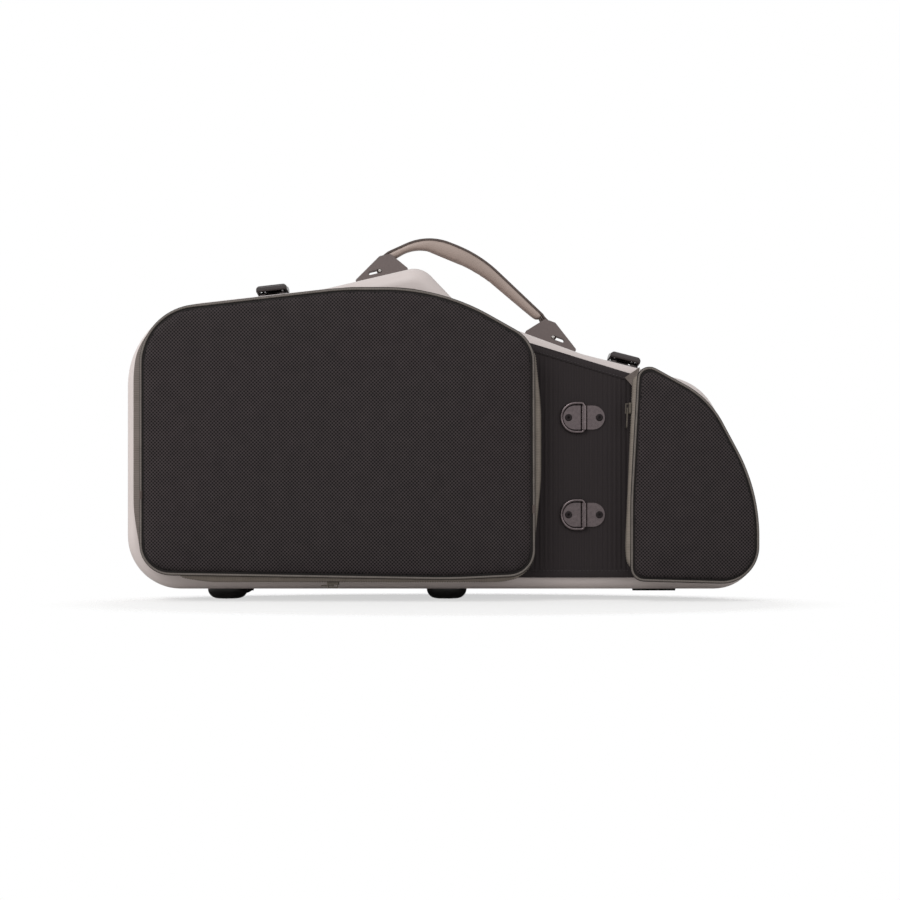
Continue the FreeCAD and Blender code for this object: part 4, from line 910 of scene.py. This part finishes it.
def large_zip_dip(line):
    """The large zip hugs the pocket at its left end, and round the corner up to its top end."""
    x, z = line[:, 0], line[:, 1]
    on_side = SIDE_DIP * (1 - window(z, 45, 262, 85))
    at_left = LEFT_DIP * ramp(x, -276, -260) * (1 - ramp(x, -266, -222))
    at_right = SIDE_DIP * ramp(x, 50, 92)
    return np.where((z > 45 * MM) & (x > 0), on_side, np.maximum(at_left, at_right)) * MM


def small_zip_dip(line):
    """The small zip hugs the pocket at its foot and under the tab at its top."""
    at_foot = 1 - ramp(line[:, 1], 22, 60)
    at_top = ramp(line[:, 1], 214, 230)
    return (FOOT_DIP * at_foot + TOP_DIP * at_top) * MM


def make_zip(node_name, name, corners, last, middle, inside, dip):
    crest = part_of(draw_outline(corners), corners[0], corners[last], corners[2])
    line, out = even_steps(crest, ZIP_STEP, closed=False, inside=inside)
    line, out = even_steps(line - out * dip(line)[:, None], ZIP_STEP, closed=False, inside=inside)
    tape = lay_strip(name + "_tape", line, out, both_halves(TAPE_ARCH, middle))
    dress(tape, zip_tape, "base", 60)
    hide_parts(node_name)
    teeth = repeat_along(make_tooth(name + "_coil", middle), line - out * COIL_SUNK * MM, TOOTH_PITCH * MM)
    dress(teeth, coil_polyester, "base", 30)


make_zip("large_pocket_zip", "large_zip", LARGE_ZIP_CORNERS, 4, -85 * MM, (-100, 160), large_zip_dip)
make_zip("small_pocket_zip", "small_zip", SMALL_ZIP_CORNERS, 3, -82 * MM, (250, 120), small_zip_dip)

# %% [markdown]
# The ribbed panel is one sheet bonded to the shell. Its grid has several columns to each rib, so a
# raised cosine can lift the ribs, and each point is pressed back onto the shell by a ray that finds
# the surface behind it. The folded hems at the top and the foot are strips of their own, and each
# has a row of stitches, modelled once and repeated.
# %% Ribbed panel with its hems
PANEL_LEFT, PANEL_RIGHT = 66.0, 206.0
PANEL_FOOT = 22.8
PANEL_TOP_LEFT, PANEL_TOP_RIGHT = 260.0, 217.3
PANEL_FACE = -70.5
RIB_PITCH = 4.6
RIB_HEIGHT = 0.5
RIB_COLUMNS, PANEL_ROWS = 6, 48
HEM_ROWS = [(-8.0, 0.3), (-7.4, 1.1), (-4.0, 1.3), (-0.6, 1.1), (0.0, 0.0), (0.0, -1.5)]
STITCH_LENGTH, STITCH_WIDTH, STITCH_PITCH = 2.6, 0.7, 3.6
STITCH_Y = -71.9


def panel_y(x, z):
    """The y of the panel's own solid at a place."""
    return surface_behind("cover_panel", x, z, -60, PANEL_FACE)


def make_panel():
    """The sheet with its ribs. Each rib is a cosine that takes up several columns."""
    columns = round((PANEL_RIGHT - PANEL_LEFT) / RIB_PITCH) * RIB_COLUMNS
    panel = new_grid("ribbed_panel", columns, PANEL_ROWS)
    for vertex in panel.data.vertices:
        across, up = vertex.co.x + 0.5, vertex.co.y + 0.5
        x = (PANEL_LEFT + (PANEL_RIGHT - PANEL_LEFT) * across) * MM
        top = PANEL_TOP_LEFT + (PANEL_TOP_RIGHT - PANEL_TOP_LEFT) * across
        z = (PANEL_FOOT + (top - PANEL_FOOT) * up) * MM
        rib = (1 - math.cos(2 * math.pi * (x / MM - PANEL_LEFT) / RIB_PITCH)) / 2
        vertex.co = (x, panel_y(x, z) - rib * RIB_HEIGHT * MM, z)
    return panel


ribbed_panel = make_panel()
dress(ribbed_panel, ribbed_nylon, "base", 60)


def make_hem(name, start, end):
    """A folded strip along the panel's edge. Its rows say how far out each one lies and how thick."""
    ends = np.array([start, end]) * MM
    line, out = even_steps(ends, 4 * MM, closed=False, inside=(136, 140))
    rows = np.empty((len(HEM_ROWS), len(line), 2))
    for i, (proud, thick) in enumerate(HEM_ROWS):
        rows[i, :, 0] = proud * MM
        for j, (x, z) in enumerate(line + out * min(proud, -0.8) * MM):
            rows[i, j, 1] = panel_y(x, z) - thick * MM
    hem = lay_strip(name, line, out, rows)
    dress(hem, ribbed_nylon, "base", 50)
    return hem


def make_stitches(name, start, end):
    """A row of stitches between two places, each one a small stretched ball of thread."""
    stitch = new_shape(name, bpy.ops.mesh.primitive_uv_sphere_add, segments=8, ring_count=5, radius=0.5)
    stitch.scale = (STITCH_LENGTH * MM, STITCH_WIDTH * MM, STITCH_WIDTH * MM)
    stitch.location = (2 * MM, 0, -STITCH_Y * MM)
    settle(stitch)
    row = repeat_along(stitch, np.array([start, end]) * MM, STITCH_PITCH * MM)
    dress(row, thread, "base", 180)
    return row


top_hem = make_hem("panel_top_hem", (PANEL_LEFT, PANEL_TOP_LEFT), (PANEL_RIGHT, PANEL_TOP_RIGHT))
foot_hem = make_hem("panel_foot_hem", (PANEL_LEFT, PANEL_FOOT), (PANEL_RIGHT, PANEL_FOOT))
top_stitches = make_stitches("panel_top_stitches", (90, 246.4), (184, 217.7))
foot_stitches = make_stitches("panel_foot_stitches", (86, 29.4), (188, 29.4))
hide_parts("cover_panel")

# %% [markdown]
# The foam inserts are glued in and covered with velour, so their edges are soft. A voxel remesh of
# each solid and a little smoothing rounds every edge by about the thickness of the pile.
# %% Linings
LINING_VOXEL = 3.4

for node_name, name, body in (("base_foam", "base_lining", "base"), ("lid_foam", "lid_lining", "lid")):
    lining = copy_solid(node_name, name, LINING_VOXEL * MM)
    smooth_over(lining, 12)
    dress(lining, velour, body, 180)
    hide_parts(node_name)

# %% [markdown]
# The seal is a hollow rubber bulb that is pressed flat between the two rims. It is a round strip
# along the shell's outline, a few millimetres inside it, and wider than it is deep.
# %% Rim seal
seal_rows = section(radius=1.1 * MM, proud=-4 * MM, depth=26.85 * MM, sides=10, flatten=0.68)
seal = lay_strip("rim_seal_bulb", shell_line, shell_out, seal_rows, closed=True, round_section=True)
dress(seal, rubber, "base", 180)
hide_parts("rim_seal")

# %% [markdown]
# The grip is foam on a flat strap. It swells like a cushion too, but its top stays flat under the strap, and
# its ends stay thin. When the handle is lifted its pins slide apart and the real grip flattens, but here the
# grip and its strap keep their resting shape.
# %% Grip
GRIP_CORNERS = [
    (-53.7, 339.3, 1.5),
    (-59.2, 347.1, 1.9),
    (-16.1, 366.7, 56.6),
    (36.6, 345.9, 132.1),
    (103.0, 282.9, 1.9),
    (94.6, 278.8, 1.5),
    (36.5, 330.0, 151.0),
    (-28.5, 355.5, 37.8),
]
HANDLE_Y = 3.0
LEFT_PIN = (-64.3, 329.5)
RIGHT_PIN = (110.6, 262.5)
GRIP_STEP = 3 * MM
GRIP_VOXEL = 2.2
TOP_ENDS = [(-58.5, 347.5), (102.6, 283.4)]
TAILS = [(-65.5, 341.0), (108.0, 276.6)]
UNDER_GRIP = (27, 300)
THIN_ENDS = (-50, 94)
STRAP_ROWS = [(-1.2, -9.2), (0.2, -9.5), (0.8, -9.1), (1.0, -4.5), (1.1, 0)]

grip_points = draw_outline(GRIP_CORNERS)
grip_top = part_of(grip_points, *TOP_ENDS, GRIP_CORNERS[2])
top_line, _ = even_steps(grip_top, GRIP_STEP, closed=False, inside=UNDER_GRIP)
tails = np.array(TAILS) * MM
with_tails = np.vstack([tails[:1], top_line, tails[1:]])
top_line, top_out = even_steps(with_tails, GRIP_STEP, closed=False, inside=UNDER_GRIP)
grip = copy_solid("handle_grip", "grip_pad", GRIP_VOXEL * MM)
smooth_over(grip, 12)
flat_places = places_of(grip)[:, (0, 2)]
_, to_top = nearest_on(top_line, flat_places)
near_end = (flat_places[:, 0] < THIN_ENDS[0] * MM) | (flat_places[:, 0] > THIN_ENDS[1] * MM)
swell(grip, (to_top < 3 * MM) | near_end, cap=2 * MM)
smooth_over(grip, 2)
refine(grip)
dress(grip, grip_vinyl, "base", 180)
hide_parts("handle_grip")

grip_strap = lay_strip("grip_strap", top_line, top_out, both_halves(STRAP_ROWS, HANDLE_Y * MM))
dress(grip_strap, webbing, "base", 60)
for piece in (grip, grip_strap):
    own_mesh(piece)

# %% [markdown]
# At each end the strap folds round a steel pin that runs in the bracket's slots. The fold is a strip
# along a hairpin line, given its thickness by a Solidify modifier. The pin is a cylinder with its
# ends bevelled.
# %% Strap ends and their pins
STRAP_FOLD = 2.6
PIN_LENGTH = 28.4
PIN_RADIUS = 1.6
LOOP_PAST, LOOP_HALF = 1.5, 0.9
LOOP_WIDTH, LOOP_THICKNESS = 20.4, 1.5


def make_strap_end(which, pin, grip_end):
    """The folded end of the strap at the left or right pin, with that pin."""
    name, body = "strap_end_" + which, "handle_end_" + which
    pin = np.array(pin)
    reach = np.array(grip_end) - pin
    ahead = reach / np.linalg.norm(reach)
    side = np.array([-ahead[1], ahead[0]])
    start = math.atan2(side[1], side[0])
    turns = np.linspace(0, math.pi, 13)
    fold = [pin + STRAP_FOLD * np.array([math.cos(start + t), math.sin(start + t)]) for t in turns]
    far = np.array(grip_end) + ahead * LOOP_PAST
    hairpin = np.array([far + side * LOOP_HALF, *fold, far - side * LOOP_HALF]) * MM
    line, out = even_steps(hairpin, 1 * MM, closed=False, inside=pin)
    widths = np.linspace(-LOOP_WIDTH / 2, LOOP_WIDTH / 2, 7)
    rows = [(0.0, (HANDLE_Y + across) * MM) for across in widths]
    loop = lay_strip(name, line, out, rows)
    add_modifier(loop, "SOLIDIFY", thickness=LOOP_THICKNESS * MM, offset=0)
    add_modifier(loop, "BEVEL", width=0.3 * MM, segments=2)
    apply_modifiers(loop)
    dress(loop, webbing, body, 50)
    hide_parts("handle_" + name)
    size = {"vertices": 24, "radius": PIN_RADIUS * MM, "depth": PIN_LENGTH * MM}
    rod = new_shape(name + "_pin", bpy.ops.mesh.primitive_cylinder_add, **size)
    rod.location = (pin[0] * MM, HANDLE_Y * MM, pin[1] * MM)
    stand_up(rod)
    add_modifier(rod, "BEVEL", width=0.5 * MM, segments=3, limit_method="ANGLE")
    apply_modifiers(rod)
    dress(rod, bright_zinc, body, 40)


make_strap_end("left", LEFT_PIN, (-56.5, 343.2))
make_strap_end("right", RIGHT_PIN, (98.8, 280.9))

# %% [markdown]
# Small sewn details finish the pockets. Where a piping's two ends meet, a short sleeve of the same
# tape covers the join, and a folded tab closes the top of the small pocket's zip.
# %% Sleeves and tab
SLEEVE_THICKNESS = 0.6
TAB_CORNERS = [(178.6, 220.0, -71.6), (192.0, 229.5, -86.0), (187.5, 208.0, -86.0)]
TAB_PUFF, TAB_THICKNESS = 1.5, 0.8


def make_sleeve(name, place):
    """A short sleeve of tape over the large pocket's piping, near a place in millimetres."""
    line, front = large_line, LARGE_FRONT + PIPING_BEHIND
    middle = np.linalg.norm(line - np.array(place) * MM, axis=1).argmin()
    chosen = [(middle + k) % len(line) for k in range(-1, 2)]
    part, away = even_steps(line[chosen], 2 * MM, closed=False, inside=(0, 150))
    rows = section((CORD + SLEEVE_THICKNESS) * MM, -CORD_INSET * MM, front + PIPE * MM)
    sleeve = lay_strip(name, part, away, rows, round_section=True)
    dress(sleeve, webbing, "base", 60)


make_sleeve("large_piping_sleeve", (87.6, 92.0))
make_sleeve("left_piping_sleeve", (-294.4, 104.6))

tab = new_grid("zip_end_tab", 8, 8)
tip, top_corner, low_corner = (Vector(corner) * MM for corner in TAB_CORNERS)
for vertex in tab.data.vertices:
    inward, up = vertex.co.x + 0.5, vertex.co.y + 0.5
    side = low_corner.lerp(top_corner, up)
    place = tip.lerp(side, inward)
    puffed = TAB_PUFF * MM * math.sin(math.pi * inward)
    vertex.co = (place.x, place.y, puffed - place.z)
settle(tab)
stand_up(tab)
add_modifier(tab, "SOLIDIFY", thickness=TAB_THICKNESS * MM)
apply_modifiers(tab)
dress(tab, gusset_tape, "base", 60)

# %% [markdown]
# The floor is plain and pale. Near the case it shows the soft shadow, and further out it fades to
# nothing in a flat oval, so that it meets the white background without a line. It is partly clear
# even under the case, to keep the shadow as faint as in the photograph. Only the camera sees it fade.
# To all other rays the floor is a light grey, so that it doesn't light the case from below too much.
# The open lid hangs lower than the case's feet, as over a table's edge. So the oval lies under the
# front half, and light passes through the floor from below, which keeps the open lid's lining lit.
# %% Floor and world
FLOOR_SIZE = 8.0
FADE_SHAPE = (2.7, 5.5, 1.0)
FADE_SHIFT = (0.0, 0.66, 0.0)
FADE_FROM, FADE_TO = 0.55, 1.1
LEAST_CLEAR = 0.6
WORLD_LIGHT = 0.55


def larger(tree, first, second):
    """The larger of two values."""
    made = add_node(tree, "ShaderNodeMath", {"operation": "MAXIMUM"}, {0: first, 1: second})
    return made.outputs["Value"]


under_case = (0, 0, solid_box[0][2] - 0.1 * MM)
floor = new_shape("floor", bpy.ops.mesh.primitive_plane_add, size=FLOOR_SIZE, location=under_case)
settle(floor)
pale_floor = bpy.data.materials.new("pale_floor")
pale_floor.use_nodes = True
tree = pale_floor.node_tree
tree.nodes.clear()
oval = {"operation": "MULTIPLY_ADD", 1: FADE_SHAPE, 2: FADE_SHIFT}
oval = add_node(tree, "ShaderNodeVectorMath", oval, {0: place_on(tree)}).outputs["Vector"]
spread = add_node(tree, "ShaderNodeVectorMath", {"operation": "LENGTH"}, {0: oval}).outputs["Value"]
edges = {"interpolation_type": "SMOOTHSTEP", "From Min": FADE_FROM, "From Max": FADE_TO}
fade = add_node(tree, "ShaderNodeMapRange", edges, {"Value": spread}).outputs["Result"]
thin = add_node(tree, "ShaderNodeMath", {"operation": "MAXIMUM", 1: LEAST_CLEAR}, {0: fade}).outputs["Value"]
by_camera = add_node(tree, "ShaderNodeLightPath").outputs["Is Camera Ray"]
seen = add_node(tree, "ShaderNodeMath", {"operation": "MULTIPLY"}, {0: thin, 1: by_camera}).outputs["Value"]
underside = add_node(tree, "ShaderNodeNewGeometry").outputs["Backfacing"]
floor_colour = blend(tree, "#cccac8", "#fbfaf9", by_camera)
paint = add_node(tree, "ShaderNodeBsdfDiffuse", None, {"Color": floor_colour}).outputs["BSDF"]
clear = add_node(tree, "ShaderNodeBsdfTransparent").outputs["BSDF"]
layers = {0: larger(tree, seen, underside), 1: paint, 2: clear}
mixed = add_node(tree, "ShaderNodeMixShader", None, layers).outputs["Shader"]
add_node(tree, "ShaderNodeOutputMaterial", None, {"Surface": mixed})
floor.data.materials.append(pale_floor)

world = bpy.data.worlds.new("studio")
bpy.context.scene.world = world
world.use_nodes = True
tree = world.node_tree
tree.nodes.clear()
ray = add_node(tree, "ShaderNodeLightPath").outputs
white = larger(tree, larger(tree, ray["Is Camera Ray"], ray["Is Glossy Ray"]), ray["Is Transmission Ray"])
level = add_node(tree, "ShaderNodeMapRange", {"To Min": WORLD_LIGHT, "To Max": 1.0}, {"Value": white})
sky = add_node(tree, "ShaderNodeBackground", {"Color": (1, 1, 1, 1)}, {"Strength": level.outputs["Result"]})
add_node(tree, "ShaderNodeOutputWorld", None, {"Surface": sky.outputs["Background"]})
print("floor and world are ready")

# %% [markdown]
# Three large soft lamps stand where a product studio has them: the main one above and to the left
# of the camera, a weaker one to the right that opens the shadows, and one at the left side, low
# down, that brightens the shell's rounded edge.
# %% Lamps
def make_lamp(name, place, aim, size, power):
    """A rectangular lamp in watts, with its place, aim and size in metres."""
    lamp = bpy.data.objects.new(name, bpy.data.lights.new(name, "AREA"))
    bpy.context.scene.collection.objects.link(lamp)
    lamp.data.shape = "RECTANGLE"
    lamp.data.size, lamp.data.size_y = size
    lamp.data.energy = power
    lamp.location = place
    lamp.rotation_euler = (Vector(aim) - Vector(place)).to_track_quat("-Z", "Y").to_euler()


make_lamp("main_lamp", (-1.1, -1.9, 1.9), (0, 0, 0.15), (1.6, 1.2), 30)
make_lamp("fill_lamp", (1.7, -1.9, 0.9), (0, 0, 0.15), (1.4, 1.4), 9)
make_lamp("side_lamp", (-2.3, -0.7, 0.5), (-0.1, 0, 0.15), (1.4, 1.6), 17)
bpy.context.scene.view_settings.view_transform = "Standard"
print("lamps are ready")

print("solids:", solid_box)
